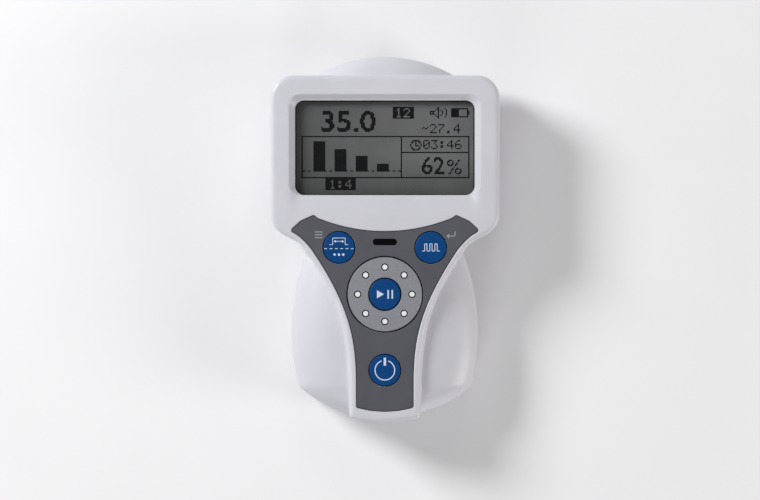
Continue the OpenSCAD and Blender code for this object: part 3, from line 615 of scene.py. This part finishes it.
def rear_housing_piece(material):
    """The rear housing, with the door's slot, the battery bay, and the screw and socket holes."""
    slot_hw, slot_end = DOOR_HW + MOVE_GAP, DOOR_END + MOVE_GAP
    slot = rectangle(-slot_hw, slot_hw, -HALF_LEN - 2, slot_end)
    bay = rectangle(-BAY_HW, BAY_HW, BAY_Y0, BAY_Y1)
    bay_box = rectangle(-BAY_HW - BAY_WALL, BAY_HW + BAY_WALL, BAY_Y0 - BAY_WALL, BAY_Y1 + BAY_WALL)
    head_line = fillet(head_corners)
    head_rims = mirrored_circles(HEAD_SCREWS, SCREW_HOLE_R)
    grip_rims = mirrored_circles([GRIP_SCREW], SCREW_HOLE_R)
    posts = mirrored_circles([*HEAD_SCREWS, GRIP_SCREW], POST_R)

    def head_back(points):
        return (HEAD_BACK_Z + round_over(depth(points, head_line), HEAD_BACK_R)
                - round_over(-depth(points, barrel_line), 1.0))

    loops = [barrel_line, head_line, slot, bay, *head_rims, *grip_rims]
    loops += insets(barrel_corners, (0.06, 0.25, 0.6, 1.1, 1.8, 2.7, 3.8, 5.0, 6.0))
    loops += insets(barrel_corners, (-0.1, -0.35, -0.65, -1.0))
    loops += insets(head_corners, (0.04, 0.2, 0.5, 1.0, 1.7, 2.6, 3.5))
    verts, faces = triangulate(loops, lambda p: inside(p, barrel_line) | inside(p, head_line), 2.2)
    areas = [(anywhere, head_back), (within(barrel_line), back_height),
             (lambda p: inside(p, slot) & inside(p, barrel_line),
              lambda p: np.maximum(back_height(p), FLOOR_T + 0.1)),
             (within(bay), flat_at(BAY_CEILING))]
    areas += [(within(c), flat_at(HEAD_SCREW_Z)) for c in head_rims]
    areas += [(within(c), flat_at(GRIP_SCREW_Z)) for c in grip_rims]
    parts, rim_z, levels = stepped(verts, faces, areas)

    # Inner side: the screws' posts reach up to the parting plane
    inner_barrel, floor_edge = insets(barrel_corners, (WALL, WALL + 2))
    inner_head = fillet(inset(head_corners, WALL))
    loops = [inner_barrel, inner_head, bay_box, *posts, floor_edge]
    in_verts, in_faces = triangulate(
        loops, lambda p: inside(p, inner_barrel) | inside(p, inner_head), 3.0)

    def inner_floor(points):
        return FLOOR_T + 3 * np.clip(1 - depth(points, inner_barrel) / 2, 0, 1)

    in_parts, *in_rim = stepped(in_verts, in_faces, [
        (anywhere, flat_at(HEAD_BACK_Z + FLOOR_T)),
        (within(inner_barrel), inner_floor),
        (within(bay_box), flat_at(BAY_CEILING + BAY_WALL)),
        *((within(post), flat_at(PART_Z - 0.01)) for post in posts)])
    parts += in_parts
    parts += sides_and_rim([(verts, rim_z, levels), (in_verts, *in_rim)], PART_Z, [], lambda mid: (
        (inside(mid, barrel_line) | inside(mid, head_line))
        & ~(inside(mid, inner_barrel) | inside(mid, inner_head))))
    piece = mesh_piece("rear_casing", parts, "case", material)

    # Hole for the lead socket
    x, z = (SOCKET_LOW[0] + SOCKET_HIGH[0]) / 2, (SOCKET_LOW[2] + SOCKET_HIGH[2]) / 2
    around = circle((x, z), SOCKET_R + LAY_GAP, 64)
    n = len(around)
    ends = (SOCKET_HIGH[1] - SOCKET_LENGTH, HALF_LEN + 2)
    points = np.array([(p[0], y, p[1]) for y in ends for p in around])
    faces = [*band(n), tuple(range(n)), tuple(range(n, 2 * n))]
    cutter = mesh_piece("cutter", [(points, faces)], "case", material)
    cut = piece.modifiers.new("socket", "BOOLEAN")
    cut.object, cut.operation, cut.solver = cutter, "DIFFERENCE", "EXACT"
    bpy.context.view_layer.update()
    cut_piece = piece.evaluated_get(bpy.context.evaluated_depsgraph_get())
    shaped = bpy.data.meshes.new_from_object(cut_piece)
    piece.modifiers.clear()
    piece.data = shaped
    smooth(shaped)
    bpy.data.objects.remove(cutter)
    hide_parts("rear_housing")


def battery_door_piece(material):
    """The sliding door: its plate, two side tongues and five finger grooves."""
    edge_r, groove_r, thin = 0.4, 0.7, 0.02
    plate_line = rectangle(-DOOR_HW, DOOR_HW, -HALF_LEN, DOOR_END)
    # The plate ends where the back's rounded edge comes up to its upper side
    reach = BACK_EDGE_R - math.sqrt(BACK_EDGE_R**2 - (BACK_EDGE_R - DOOR_T)**2)
    end_line = fillet(inset(barrel_corners, reach + thin))
    tongues = [rectangle(*sorted((side * DOOR_HW, side * TONGUE_HW)), BAY_Y0 + 1, DOOR_END)
               for side in (-1, 1)]
    # Finger grooves: the place and half-width of each
    grooves = [(DOOR_END - 8 - 2.4 * k, 9 - k) for k in range(5)]

    def under(points):
        x, y = np.abs(points[:, 0]), points[:, 1]
        z = back_height(points) + round_over(np.minimum(DOOR_HW - x, DOOR_END - y), edge_r)
        for gy, hx in grooves:
            d = np.abs(y - gy)
            z = np.where((d < groove_r) & (x < hx), np.sqrt(np.maximum(groove_r**2 - d * d, 0)), z)
        return np.minimum(z, DOOR_T - thin)

    def on_tongue(points):
        return inside(points, tongues[0]) | inside(points, tongues[1])

    def keep(points):
        return (inside(points, plate_line) & inside(points, end_line)) | on_tongue(points)

    loops = [plate_line, end_line, *tongues]
    loops += [rectangle(-DOOR_HW + d, DOOR_HW - d, -HALF_LEN, DOOR_END - d)
              for d in (0.06, 0.2, edge_r)]
    loops += insets(barrel_corners, (2.2, 2.9, 3.8, 5.0, 6.0))
    for gy, hx in grooves:
        for dy, dx in ((0.7, 0.0), (0.66, 0.01), (0.5, 0.03), (0.25, 0.05)):
            loops.append(rectangle(-hx + dx, hx - dx, gy - dy, gy + dy))
    verts, faces = triangulate(loops, keep, 2.5)
    areas = [(anywhere, under), (on_tongue, flat_at(TONGUE_Z))]
    parts, rim_z, levels = stepped(verts, faces, areas)
    parts.append((np.column_stack([verts, np.full(len(verts), DOOR_T)]), faces[:, ::-1]))
    points, sides = [], []
    for edge, start in rim_z.items():
        face = upright(verts, levels, edge, start, (DOOR_T, DOOR_T))
        sides.append(tuple(range(len(points), len(points) + len(face))))
        points += face
    parts.append((np.array(points), sides))
    piece = mesh_piece("door", parts, "battery_door", material)
    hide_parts("battery_door")


def front_housing_piece(material):
    """The front housing, with the holes for window, dial, lamp and three keys."""
    holes = [opening_line, circle(DIAL_AT, DIAL_R + MOVE_GAP), lamp_hole()]
    holes += [circle(KEY_AT[k], KEY_R + MOVE_GAP) for k in KEYS if k != "play_key"]

    def clear(points):
        return ~np.any([inside(points, h) for h in holes], axis=0)

    def keep_outer(points):
        return (inside(points, front_line) | inside(points, barrel_line)) & clear(points)

    inner_slab = fillet(inset(front_corners, WALL))
    inner_barrel = fillet(inset(barrel_corners, WALL))

    def keep_inner(points):
        return (inside(points, inner_slab) | inside(points, inner_barrel)) & clear(points)

    # Loops where the outer surface bends: its edge, its sides, the recess, and the overlay's pocket
    loops = [front_line, barrel_line, overlay_line, *holes]
    loops += insets(front_corners, (-0.7, -0.35, -0.1, -0.02, 0.04, 0.2, 0.5, 0.9, 1.4, 2.0))
    loops += insets(barrel_corners, (0.03, 0.12, 0.3, 0.7, 1.3, 2.2, 3.4))
    loops += [flared(share, WINDOW_R + share)
              for share in (LIP_SHARE, LIP_SHARE + 0.02, 0.5, 0.8, 0.93, 0.96, 1.0)]
    loops += insets(overlay_corners, [-LAY_GAP - d for d in (0.01, 0.1, 0.22, 0.35)])
    verts, faces = triangulate(loops, keep_outer)
    parts, *rim = stepped(verts, faces, [(anywhere, front_height)])

    edges = [edge_along(verts, rim[0], hole) for hole in holes]
    in_verts, in_faces = triangulate([inner_slab, inner_barrel, *edges], keep_inner, 3.0)
    in_parts, *in_rim = stepped(in_verts, in_faces, [(anywhere, inner_height)])
    parts += in_parts

    # Upright walls in the holes
    for hole, edge in zip(holes, edges):
        z = FACE_IN + LIP_RISE * (FRONT_Z - FACE_IN) if hole is opening_line else FLOOR_Z
        parts.append(wall_between(edge, FACE_IN, z))

    parts += sides_and_rim([(verts, *rim), (in_verts, *in_rim)], PART_Z, holes, lambda mid: (
        (inside(mid, front_line) | inside(mid, barrel_line))
        & ~(inside(mid, inner_slab) | inside(mid, inner_barrel))))
    piece = mesh_piece("front_casing", parts, "case", material)
    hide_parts("front_housing")


# ---- Materials. Colours are the written sRGB values, 0 to 255.

def linear(colour):
    """The linear RGBA of a written colour."""
    out = []
    for value in colour:
        c = value / 255
        out.append(c / 12.92 if c <= 0.04045 else ((c + 0.055) / 1.055)**2.4)
    return (*out, 1.0)


class Shader:
    """A Principled material with procedural textures, in the object's own space."""

    def __init__(self, name, roughness=0.5, metallic=0.0, specular=0.5):
        self.mat = bpy.data.materials.new(name)
        self.mat.use_nodes = True
        self.tree = self.mat.node_tree
        self.bsdf = self.tree.nodes["Principled BSDF"]
        self.bsdf.inputs["Roughness"].default_value = roughness
        self.bsdf.inputs["Metallic"].default_value = metallic
        self.bsdf.inputs["Specular IOR Level"].default_value = specular
        self.coords = self.tree.nodes.new("ShaderNodeTexCoord").outputs["Object"]

    def node(self, kind, inputs=(), **settings):
        node = self.tree.nodes.new(kind)
        for key, value in settings.items():
            setattr(node, key, value)
        for key, value in dict(inputs).items():
            self.feed(node.inputs[key], value)
        return node

    def feed(self, socket, value):
        if isinstance(value, bpy.types.NodeSocket):
            self.tree.links.new(value, socket)
        else:
            socket.default_value = value

    def noise(self, size_mm, detail):
        node = self.node("ShaderNodeTexNoise", {
            "Vector": self.coords, "Scale": 1000.0 / size_mm, "Detail": detail, "Roughness": 0.55})
        return node.outputs["Fac"]

    def spread(self, value, low, high, from_low=0.35, from_high=0.65):
        """Maps a value from one range to another; the usual first range is where noise lies."""
        node = self.node("ShaderNodeMapRange", {
            "Value": value, "From Min": from_low, "From Max": from_high,
            "To Min": low, "To Max": high})
        return node.outputs["Result"]

    def along(self, axis, low, high, from_mm, to_mm):
        """A value that goes from low to high between two places on an axis of the object."""
        axes = self.node("ShaderNodeSeparateXYZ", {"Vector": self.coords})
        return self.spread(axes.outputs[axis], low, high, from_mm * MM, to_mm * MM)

    def above(self, z_mm):
        """0 below a height and 1 above it."""
        return self.along("Z", 0.0, 1.0, z_mm - 0.1, z_mm + 0.1)

    def mix(self, fac, a, b):
        node = self.node("ShaderNodeMix", data_type="RGBA")
        self.feed(node.inputs["Factor"], fac)
        self.feed(node.inputs["A"], a)
        self.feed(node.inputs["B"], b)
        return node.outputs["Result"]

    def bump(self, height, depth_mm):
        node = self.node("ShaderNodeBump", {
            "Height": height, "Distance": depth_mm * MM, "Strength": 1.0})
        self.feed(self.bsdf.inputs["Normal"], node.outputs["Normal"])

    def put(self, **inputs):
        for key, value in inputs.items():
            self.feed(self.bsdf.inputs[key.replace("_", " ")], value)
        return self


def plastic(name, light, dark, roughness, grain_mm=0.25, grain_depth=0.004, cloud_mm=18.0, coat=0.0,
            specular=0.5, shadow_below=None):
    """Moulded plastic: slow changes of shade, fine grain, and a roughness that wanders a little.

    shadow_below is a height in millimetres under which the colour is darkened: painted shade on the
    sides of a gap.
    """
    shader = Shader(name, roughness, specular=specular)
    cloud = shader.noise(cloud_mm, 2.0)
    grain = shader.noise(grain_mm, 2.0)
    shade = shader.mix(shader.spread(cloud, 0.25, 0.75), linear(dark), linear(light))
    shade = shader.mix(shader.spread(grain, 0.0, 0.16), shade, linear(dark))
    if shadow_below:
        # Painted shade: below shadow_below the colour is a quarter as light, for the shade in the
        # gap round the part.
        shade = shader.mix(shader.above(shadow_below), linear([c / 4 for c in dark]), shade)
    shader.put(Base_Color=shade, Roughness=shader.spread(grain, roughness - 0.05, roughness + 0.05))
    shader.bump(grain, grain_depth)
    if coat:
        shader.put(Coat_Weight=coat, Coat_Roughness=0.2)
    return shader.mat


def metal(name, light, dark, roughness):
    """Bare metal with a fine mottle."""
    shader = Shader(name, roughness, metallic=1.0)
    mottle = shader.noise(1.2, 4.0)
    shade = shader.mix(shader.spread(mottle, 0.0, 1.0), linear(dark), linear(light))
    shader.put(Base_Color=shade,
               Roughness=shader.spread(mottle, roughness - 0.08, roughness + 0.08))
    return shader.mat


def flake_paint(name):
    """Silver paint with fine flake, for the dial, with painted shade below its top edge in the gaps
    round it.
    """
    shader = Shader(name, 0.45, metallic=0.15, specular=0.4)
    flake = shader.node("ShaderNodeTexVoronoi", {"Vector": shader.coords, "Scale": 1000.0 / 0.16})
    sparkle = shader.spread(flake.outputs["Color"], 0.0, 1.0, 0.25, 0.95)
    grain = shader.noise(0.22, 3.0)
    shade = shader.mix(sparkle, linear((134, 134, 142)), linear((156, 156, 164)))
    shade = shader.mix(shader.spread(grain, 0.0, 0.3), shade, linear((112, 112, 120)))
    # Painted shade: nearly black below the dial's top edge, for the shade in the grooves round the
    # dial and round the middle key.
    shade = shader.mix(shader.above(DIAL_HIGH[2] - 0.22), linear((18, 18, 22)), shade)
    shader.put(Base_Color=shade)
    shader.bump(grain, 0.004)
    return shader.mat


def pane_material(name):
    """Clear pane, lightly smoked."""
    shader = Shader(name, 0.05, specular=0.12)
    smear = shader.noise(9.0, 2.0)
    shader.put(Base_Color=linear((30, 31, 33)), Alpha=shader.spread(smear, 0.09, 0.12),
               Roughness=shader.spread(smear, 0.03, 0.08))
    return shader.mat


def screen_material(name):
    """Unlit reflective screen: grey, with a painted reflection that makes it a little lighter to
    the right and darker at the bottom.
    """
    shader = Shader(name, 0.45, specular=0.15)
    bottom = SCREEN_Y - LCD_ROWS * LCD_PITCH / 2
    # Painted reflection: lighter towards the right and darker towards the bottom.
    across = shader.along("X", 0.0, 1.0, -33, 33)
    down = shader.along("Y", 0.5, 0.0, bottom, bottom + 14)
    shade = shader.mix(across, linear((101, 102, 103)), linear((132, 133, 134)))
    shade = shader.mix(down, shade, linear((84, 85, 86)))
    grain = shader.spread(shader.noise(0.5, 2.0), 0.0, 0.12)
    shader.put(Base_Color=shader.mix(grain, shade, linear((70, 71, 72))))
    return shader.mat


LOOKS = {
    "case_plastic": plastic("case plastic", (204, 204, 211), (196, 196, 204), 0.4, 0.25, 0.003),
    "door_plastic": plastic("door plastic", (200, 200, 207), (192, 192, 200), 0.42, 0.25, 0.003),
    "overlay": plastic("overlay film", (86, 86, 94), (78, 78, 86), 0.55, 0.35, 0.006, 12.0,
                       specular=0.3),
    # Keys: painted shade on their sides below the top, in the gaps round them.
    "key_plastic": plastic("key blue", (8, 68, 126), (6, 60, 115), 0.5, 0.3, 0.002, 6.0,
                           specular=0.12, shadow_below=KEY_TOP - 0.45),
    "black_plastic": plastic("black plastic", (22, 22, 25), (14, 14, 17), 0.45),
    "lens": plastic("smoked lens", (9, 8, 12), (6, 6, 8), 0.2, 0.8, 0.001, 5.0, specular=0.1),
    "white_plastic": plastic("white plastic", (226, 226, 220), (214, 214, 207), 0.5),
    "marker_white": plastic("marker white", (232, 233, 236), (222, 223, 227), 0.4, 0.3, 0.002, 3.0),
    "foam": plastic("foam", (24, 24, 26), (10, 10, 12), 0.95, 0.6, 0.05, 3.0),
    "light_guide": plastic("light guide", (232, 232, 226), (222, 222, 215), 0.3, 0.5, 0.002, 9.0),
    "flex": plastic("flex film", (176, 108, 40), (150, 88, 30), 0.35, 0.5, 0.002, 4.0),
    "board": plastic("solder mask", (26, 96, 58), (14, 74, 42), 0.35, 0.4, 0.004, 6.0, coat=0.3),
    "coil": plastic("winding tape", (206, 160, 56), (182, 136, 40), 0.45, 0.5, 0.01, 4.0),
    "sleeve": plastic("capacitor sleeve", (30, 34, 92), (20, 24, 74), 0.3, 0.5, 0.002, 5.0,
                      coat=0.3),
    "cell": plastic("cell wrap", (74, 118, 168), (60, 102, 150), 0.3, 0.5, 0.002, 8.0, coat=0.4),
    "steel": metal("plain steel", (186, 187, 190), (150, 151, 154), 0.35),
    "dark_steel": metal("blackened steel", (74, 74, 78), (52, 52, 56), 0.42),
    "brass": metal("brass", (206, 166, 92), (180, 138, 66), 0.32),
    "dial_plastic": flake_paint("dial paint"),
    "window": pane_material("smoked pane"),
    "lcd": screen_material("screen grey"),
}
print_white = plastic("white print", (206, 216, 232), (196, 207, 224), 0.5, 0.2, 0.001, 2.0)
print_grey = plastic("grey print", (158, 160, 168), (146, 148, 157), 0.5, 0.2, 0.001, 2.0)
well_black = plastic("marker well", (24, 24, 28), (16, 16, 20), 0.7, 0.3, 0.003, 2.0, specular=0.1)
# Painted shade of the narrow gap round the overlay film.
film_gap_shade = plastic("film gap shade", (52, 46, 46), (42, 36, 37), 0.6, 0.3, 0.002, 3.0, specular=0.1)
screen_ink = plastic("screen ink", (20, 21, 23), (14, 15, 17), 0.6, 0.3, 0.001, 3.0, specular=0.08)


# ---- CAD pieces that keep their shape

def dress_cad():
    for part in frame["record"]["subparts"]:
        for slot in frame["nodes"][part["node"]].material_slots:
            slot.material = LOOKS[part["material_slot"]]


# ---- Screen picture

# Small figures: seven rows each, the top one first, five dots to a row in base 32
FIGURES = {
    "0": "ehjlphe", "1": "4c4444e", "2": "eh1248v", "3": "v2421he", "4": "26aiv22", "5": "vgu11he",
    "6": "68guhhe", "7": "v124888", "8": "ehhehhe", "9": "ehhf12c", ":": "0cc0cc0", ".": "00000cc",
    "~": "009m000"}


class Picture:
    """Dots of the screen, one cell per dot, with row 0 at the top.

    c and r are columns and rows. A pair of them is the first and the last, both included.
    """

    def __init__(self):
        self.dots = np.zeros((LCD_ROWS, LCD_COLS), bool)

    def fill(self, c0, c1, r0, r1):
        self.dots[r0:r1 + 1, c0:c1 + 1] = True

    def frame(self, c0, c1, r0, r1):
        for c in (c0, c1):
            self.fill(c, c, r0, r1)
        for r in (r0, r1):
            self.fill(c0, c1, r, r)

    def small(self, words, c, r, on=True):
        """Figures five dots wide and seven high, from the cell (c, r)."""
        for k, glyph in enumerate(words):
            for i, row in enumerate(FIGURES[glyph]):
                for j in range(5):
                    if int(row, 32) >> (4 - j) & 1:
                        self.dots[r + i, c + 6 * k + j] = on

    def large(self, words, c0, c1, r0, r1, weight=0.018):
        """Figures drawn to fill the given cells, thickened by weight."""
        curve = bpy.data.curves.new("figures", "FONT")
        curve.body = words
        curve.offset = weight
        holder = bpy.data.objects.new("figures", curve)
        mesh = holder.to_mesh()
        mesh.calc_loop_triangles()
        points = np.array([v.co[:2] for v in mesh.vertices])
        triangles = [points[list(t.vertices)] for t in mesh.loop_triangles]
        low, high = points.min(axis=0), points.max(axis=0)
        fine = 4
        cols, rows = (c1 - c0 + 1) * fine, (r1 - r0 + 1) * fine
        xs = low[0] + (np.arange(cols) + 0.5) / cols * (high[0] - low[0])
        ys = high[1] - (np.arange(rows) + 0.5) / rows * (high[1] - low[1])
        gx, gy = np.meshgrid(xs, ys)
        hit = np.zeros_like(gx, bool)
        for corners in triangles:
            turn = np.array([(q[0] - p[0]) * (gy - p[1]) - (q[1] - p[1]) * (gx - p[0])
                             for p, q in zip(corners, np.roll(corners, -1, axis=0))])
            hit |= (turn >= 0).all(axis=0) | (turn <= 0).all(axis=0)
        cover = hit.reshape(r1 - r0 + 1, fine, c1 - c0 + 1, fine).mean(axis=(1, 3))
        self.dots[r0:r1 + 1, c0:c1 + 1][cover > 0.5] = True
        holder.to_mesh_clear()
        bpy.data.objects.remove(holder)
        bpy.data.curves.remove(curve)


def draw_picture():
    p = Picture()
    # Frame of the graph, its dividers and its dashed baseline
    p.frame(1, 127, 23, 54)
    p.fill(76, 76, 23, 54)
    p.fill(76, 127, 35, 35)
    for c in range(2, 75, 4):
        p.fill(c, c + 1, 49, 49)
    # Four bars, each lower than the last
    for k, top in enumerate((27, 33, 38, 44)):
        p.fill(10 + 16 * k, 18 + 16 * k, top, 49)
    p.large("35.0", 16, 56, 4, 19)
    # Number in a dark badge
    p.fill(70, 85, 1, 9)
    p.small("12", 72, 2, on=False)
    # Loudspeaker with two waves
    p.frame(98, 100, 4, 6)
    for k in range(4):
        p.fill(101 + k, 101 + k, 4 - k, 4 - k)
        p.fill(101 + k, 101 + k, 6 + k, 6 + k)
    p.fill(104, 104, 1, 9)
    for c, reach in ((107, 1), (110, 2)):
        p.fill(c, c, 5 - reach, 5 + reach)
        for r in (4 - reach, 6 + reach):
            p.fill(c - 1, c - 1, r, r)
    # Battery, half full
    p.frame(114, 126, 2, 8)
    p.fill(127, 127, 4, 6)
    p.fill(115, 119, 3, 7)
    p.small("~27.4", 92, 14)
    # Clock and time
    for a in range(0, 360, 12):
        c, r = 87 + 3.6 * math.cos(math.radians(a)), 29.5 + 3.6 * math.sin(math.radians(a))
        p.fill(round(c), round(c), round(r), round(r))
    p.fill(87, 87, 27, 30)
    p.fill(88, 89, 30, 30)
    p.small("03:46", 93, 26)
    # Share in large figures, and a ratio in a dark badge
    p.large("62", 92, 108, 39, 51, 0.01)
    p.large("%", 111, 121, 41, 51, 0.0)
    p.fill(19, 41, 55, 63)
    p.small("1:4", 22, 56, on=False)
    return p.dots


def screen_pieces():
    """The picture's dots, a little smaller than their pitch, just over the glass."""
    half, z = 0.25, PICTURE_Z + 0.02
    parts = []
    for r, c in zip(*np.nonzero(draw_picture())):
        x = (c + 0.5 - LCD_COLS / 2) * LCD_PITCH
        y = SCREEN_Y + (LCD_ROWS / 2 - r - 0.5) * LCD_PITCH
        parts.append(([(x - half, y - half, z), (x + half, y - half, z),
                       (x + half, y + half, z), (x - half, y + half, z)], [(0, 1, 2, 3)]))
    mesh_piece("screen_dots", parts, "case", screen_ink, weld=False)


# ---- Printed marks: flat strokes that follow the surface under them

def key_surface(r):
    """Height of a key's domed top at the distance r from its middle."""
    return KEY_TOP - np.interp(r, (0, KEY_R / 2, KEY_R - 0.45, KEY_R), (0, 0.0625, 0.2, 0.4))


def stroke(path, width):
    """A band of the given width along a path, as a list of four-cornered pieces."""
    step = 0.35
    path = [np.array(p, float) for p in path]
    quads = []
    for p, q in zip(path, path[1:]):
        length = np.linalg.norm(q - p)
        along = (q - p) / length
        across = np.array([-along[1], along[0]]) * width / 2
        count = max(1, round(length / step))
        for k in range(count):
            a, b = p + (q - p) * k / count, p + (q - p) * (k + 1) / count
            quads.append([a - across, b - across, b + across, a + across])
    return quads


def round_stroke(centre, radius, width, a0, a1, count):
    """A band along an arc, from the angle a0 to a1 in degrees, as count four-cornered pieces."""
    inner = np.array(arc(centre, radius - width / 2, a0, a1, count))
    outer = np.array(arc(centre, radius + width / 2, a0, a1, count))
    return [[inner[k], outer[k], outer[k + 1], inner[k + 1]] for k in range(count)]


def triangle(a, b, c, rows=5):
    """A filled triangle, cut into rows from ab to c."""
    a, b, c = (np.array(p, float) for p in (a, b, c))
    out = []
    for k in range(rows):
        t0, t1 = k / rows, (k + 1) / rows
        out.append([a + (c - a) * t0, b + (c - b) * t0, b + (c - b) * t1, a + (c - a) * t1])
    return out


def printed(name, shapes, at, surface, body, material):
    """A mark's pieces, placed at a point and laid on surface(distance from that point)."""
    parts = []
    for shape in shapes:
        # A corner that repeats the one before it is left out
        flat = [p for k, p in enumerate(shape) if np.linalg.norm(p - shape[k - 1]) > 1e-6]
        corners = [(*(p + at), surface(np.linalg.norm(p)) + PRINT_LIFT) for p in flat]
        parts.append((corners, [tuple(range(len(corners)))]))
    mesh_piece(name, parts, body, material, weld=False)


def pulse_width_mark():
    """A pulse with an arrow across it, a dashed line, and three dots."""
    line, dash_pitch, dash = 0.24, 2.08, 0.52
    pulse = [(-3.7, 1.1), (-2.45, 1.1), (-2.45, 3.7), (2.45, 3.7), (2.45, 1.1), (3.6, 1.1)]
    out = stroke(pulse, line)
    out += stroke([(-1.3, 2.4), (1.3, 2.4)], line)
    out += triangle((-1.2, 1.85), (-1.2, 2.95), (-2.05, 2.4), 2)
    out += triangle((1.2, 2.95), (1.2, 1.85), (2.05, 2.4), 2)
    for k in range(6):
        x = dash_pitch * (k - 2.5)
        out += stroke([(x - dash, -0.45), (x + dash, -0.45)], 0.28)
    for x in (-1.7, 0.0, 1.7):
        out += round_stroke((x, -2.8), 0.24, 0.48, 0, 360, 16)
    return out


def pulse_train_mark():
    path = [(-3.4, -1.4)]
    for x in (-2.4, -0.4, 1.6):
        path += [(x, -1.4), (x, 1.4), (x + 0.9, 1.4), (x + 0.9, -1.4)]
    return stroke(path + [(3.5, -1.4)], 0.3)


def play_pause_mark():
    out = triangle((-3.1, -1.6), (-3.1, 1.6), (-0.4, 0.0))
    for x in (1.3, 2.9):
        out += stroke([(x, -1.7), (x, 1.7)], 0.6)
    return out


def power_mark():
    return round_stroke((0, 0), 3.85, 0.42, 110, 430, 64) + stroke([(0, 1.8), (0, 4.9)], 0.95)


def menu_mark():
    out = []
    for y in (1.1, 0.0, -1.1):
        out += stroke([(-1.5, y), (1.5, y)], 0.38)
    return out


def enter_mark():
    out = stroke([(1.5, 1.3), (1.5, -0.5), (-0.9, -0.5)], 0.38)
    return out + triangle((-0.7, 0.45), (-0.7, -1.45), (-1.9, -0.5), 3)


def printed_marks():
    marks = {"mode_key": pulse_width_mark, "rate_key": pulse_train_mark,
             "play_key": play_pause_mark, "power_key": power_mark}
    for key, mark in marks.items():
        printed(f"{key}_mark", mark(), KEY_AT[key], key_surface, key, print_white)
    # Two small marks on the film, each beside a key
    reach = 9.4
    for name, key, mark, angle in (("menu_mark", "mode_key", menu_mark, 148),
                                   ("enter_mark", "rate_key", enter_mark, 32)):
        a = math.radians(angle)
        at = KEY_AT[key] + reach * np.array([math.cos(a), math.sin(a)])
        printed(name, mark(), at, lambda r: OVERLAY_HIGH[2], "case", print_grey)


def overlay_border():
    """A dark band along the film's edge, laid on top of it: painted shade of the narrow gap round
    the film.
    """
    width = 0.2
    outer, inner = fillet(overlay_corners), fillet(inset(overlay_corners, width))
    verts, faces = triangulate([outer, inner], lambda p: inside(p, outer) & ~inside(p, inner), 3.0)
    z = np.full(len(verts), OVERLAY_HIGH[2] + 0.01)
    parts = [(np.column_stack([verts, z]), faces)]
    mesh_piece("overlay_border", parts, "case", film_gap_shade)


def marker_wells():
    """Dark floors under the dial's white markers."""
    pitch_r, markers = 10.65, 8
    z = box_mm("dial_markers")[0][2]
    shapes = []
    for k in range(markers):
        a = math.radians(360 / markers * k)
        shapes += [[p + pitch_r * np.array([math.sin(a), math.cos(a)]) for p in q]
                   for q in round_stroke((0, 0), 1.2, 0.44, 0, 360, 32)]
    printed("marker_wells", shapes, DIAL_AT, lambda r: z, "dial", well_black)


# ---- Build

front_housing_piece(LOOKS["case_plastic"])
rear_housing_piece(LOOKS["case_plastic"])
battery_door_piece(LOOKS["door_plastic"])
dress_cad()
screen_pieces()
printed_marks()
overlay_border()
marker_wells()


# ---- Stage, light and camera, in metres

low, high = (np.array(corner) for corner in cad_box)
middle = (low + high) / 2


def stage():
    """A plain pale floor, just under the object."""
    size = 3.0
    z = float(low[2]) - 0.0002
    corners = [(-size, -size, z), (size, -size, z), (size, size, z), (-size, size, z)]
    mesh = bpy.data.meshes.new("floor")
    mesh.from_pydata(corners, [], [(0, 1, 2, 3)])
    shader = Shader("floor", 0.75)
    shader.put(Base_Color=shader.mix(
        shader.noise(60.0, 2.0), linear((232, 232, 234)), linear((238, 238, 240))))
    mesh.materials.append(shader.mat)
    floor = bpy.data.objects.new("floor", mesh)
    bpy.context.scene.collection.objects.link(floor)


def lamp(name, place, size, power, colour=(1.0, 1.0, 1.0)):
    """A round soft lamp that points at the object's middle."""
    data = bpy.data.lights.new(name, "AREA")
    data.shape, data.size, data.energy, data.color = "DISK", size, power, colour
    obj = bpy.data.objects.new(name, data)
    obj.location = place
    obj.rotation_mode = "QUATERNION"
    obj.rotation_quaternion = (Vector(middle) - Vector(place)).to_track_quat("-Z", "Y")
    bpy.context.scene.collection.objects.link(obj)


def lights():
    lamp("key", (-0.85, 0.55, 0.68), 0.42, 13.5)
    lamp("fill", (0.15, 1.1, 0.95), 0.6, 1.5)
    lamp("edge", (1.0, -0.3, 0.34), 0.4, 5.6, (1.0, 0.95, 0.92))
    lamp("foot", (-0.25, -1.05, 0.42), 0.5, 3.4)
    world = bpy.data.worlds.new("world")
    bpy.context.scene.world = world
    world.use_nodes = True
    background = world.node_tree.nodes["Background"]
    background.inputs["Color"].default_value = (1.0, 1.0, 1.0, 1.0)
    background.inputs["Strength"].default_value = 0.27


def camera():
    """Straight down on the front, a little off the middle, as in the photograph."""
    aspect = 760 / 500
    # The object's length fills this share of the frame's height, at the height of its face
    fill = 0.7303
    aim_x, aim_y, face_z = middle[0] - 0.0019, middle[1] - 0.0045, 0.026
    data = bpy.data.cameras.new("camera")
    data.sensor_width, data.lens = 36.0, 200.0
    view_w = (high[1] - low[1]) / fill * aspect
    distance = view_w * data.lens / data.sensor_width
    obj = bpy.data.objects.new("camera", data)
    obj.location = (aim_x, aim_y, face_z + distance)
    obj.rotation_euler = (0, 0, 0)
    bpy.context.scene.collection.objects.link(obj)
    bpy.context.scene.camera = obj


stage()
lights()
camera()
bpy.context.scene.view_settings.view_transform = "Standard"
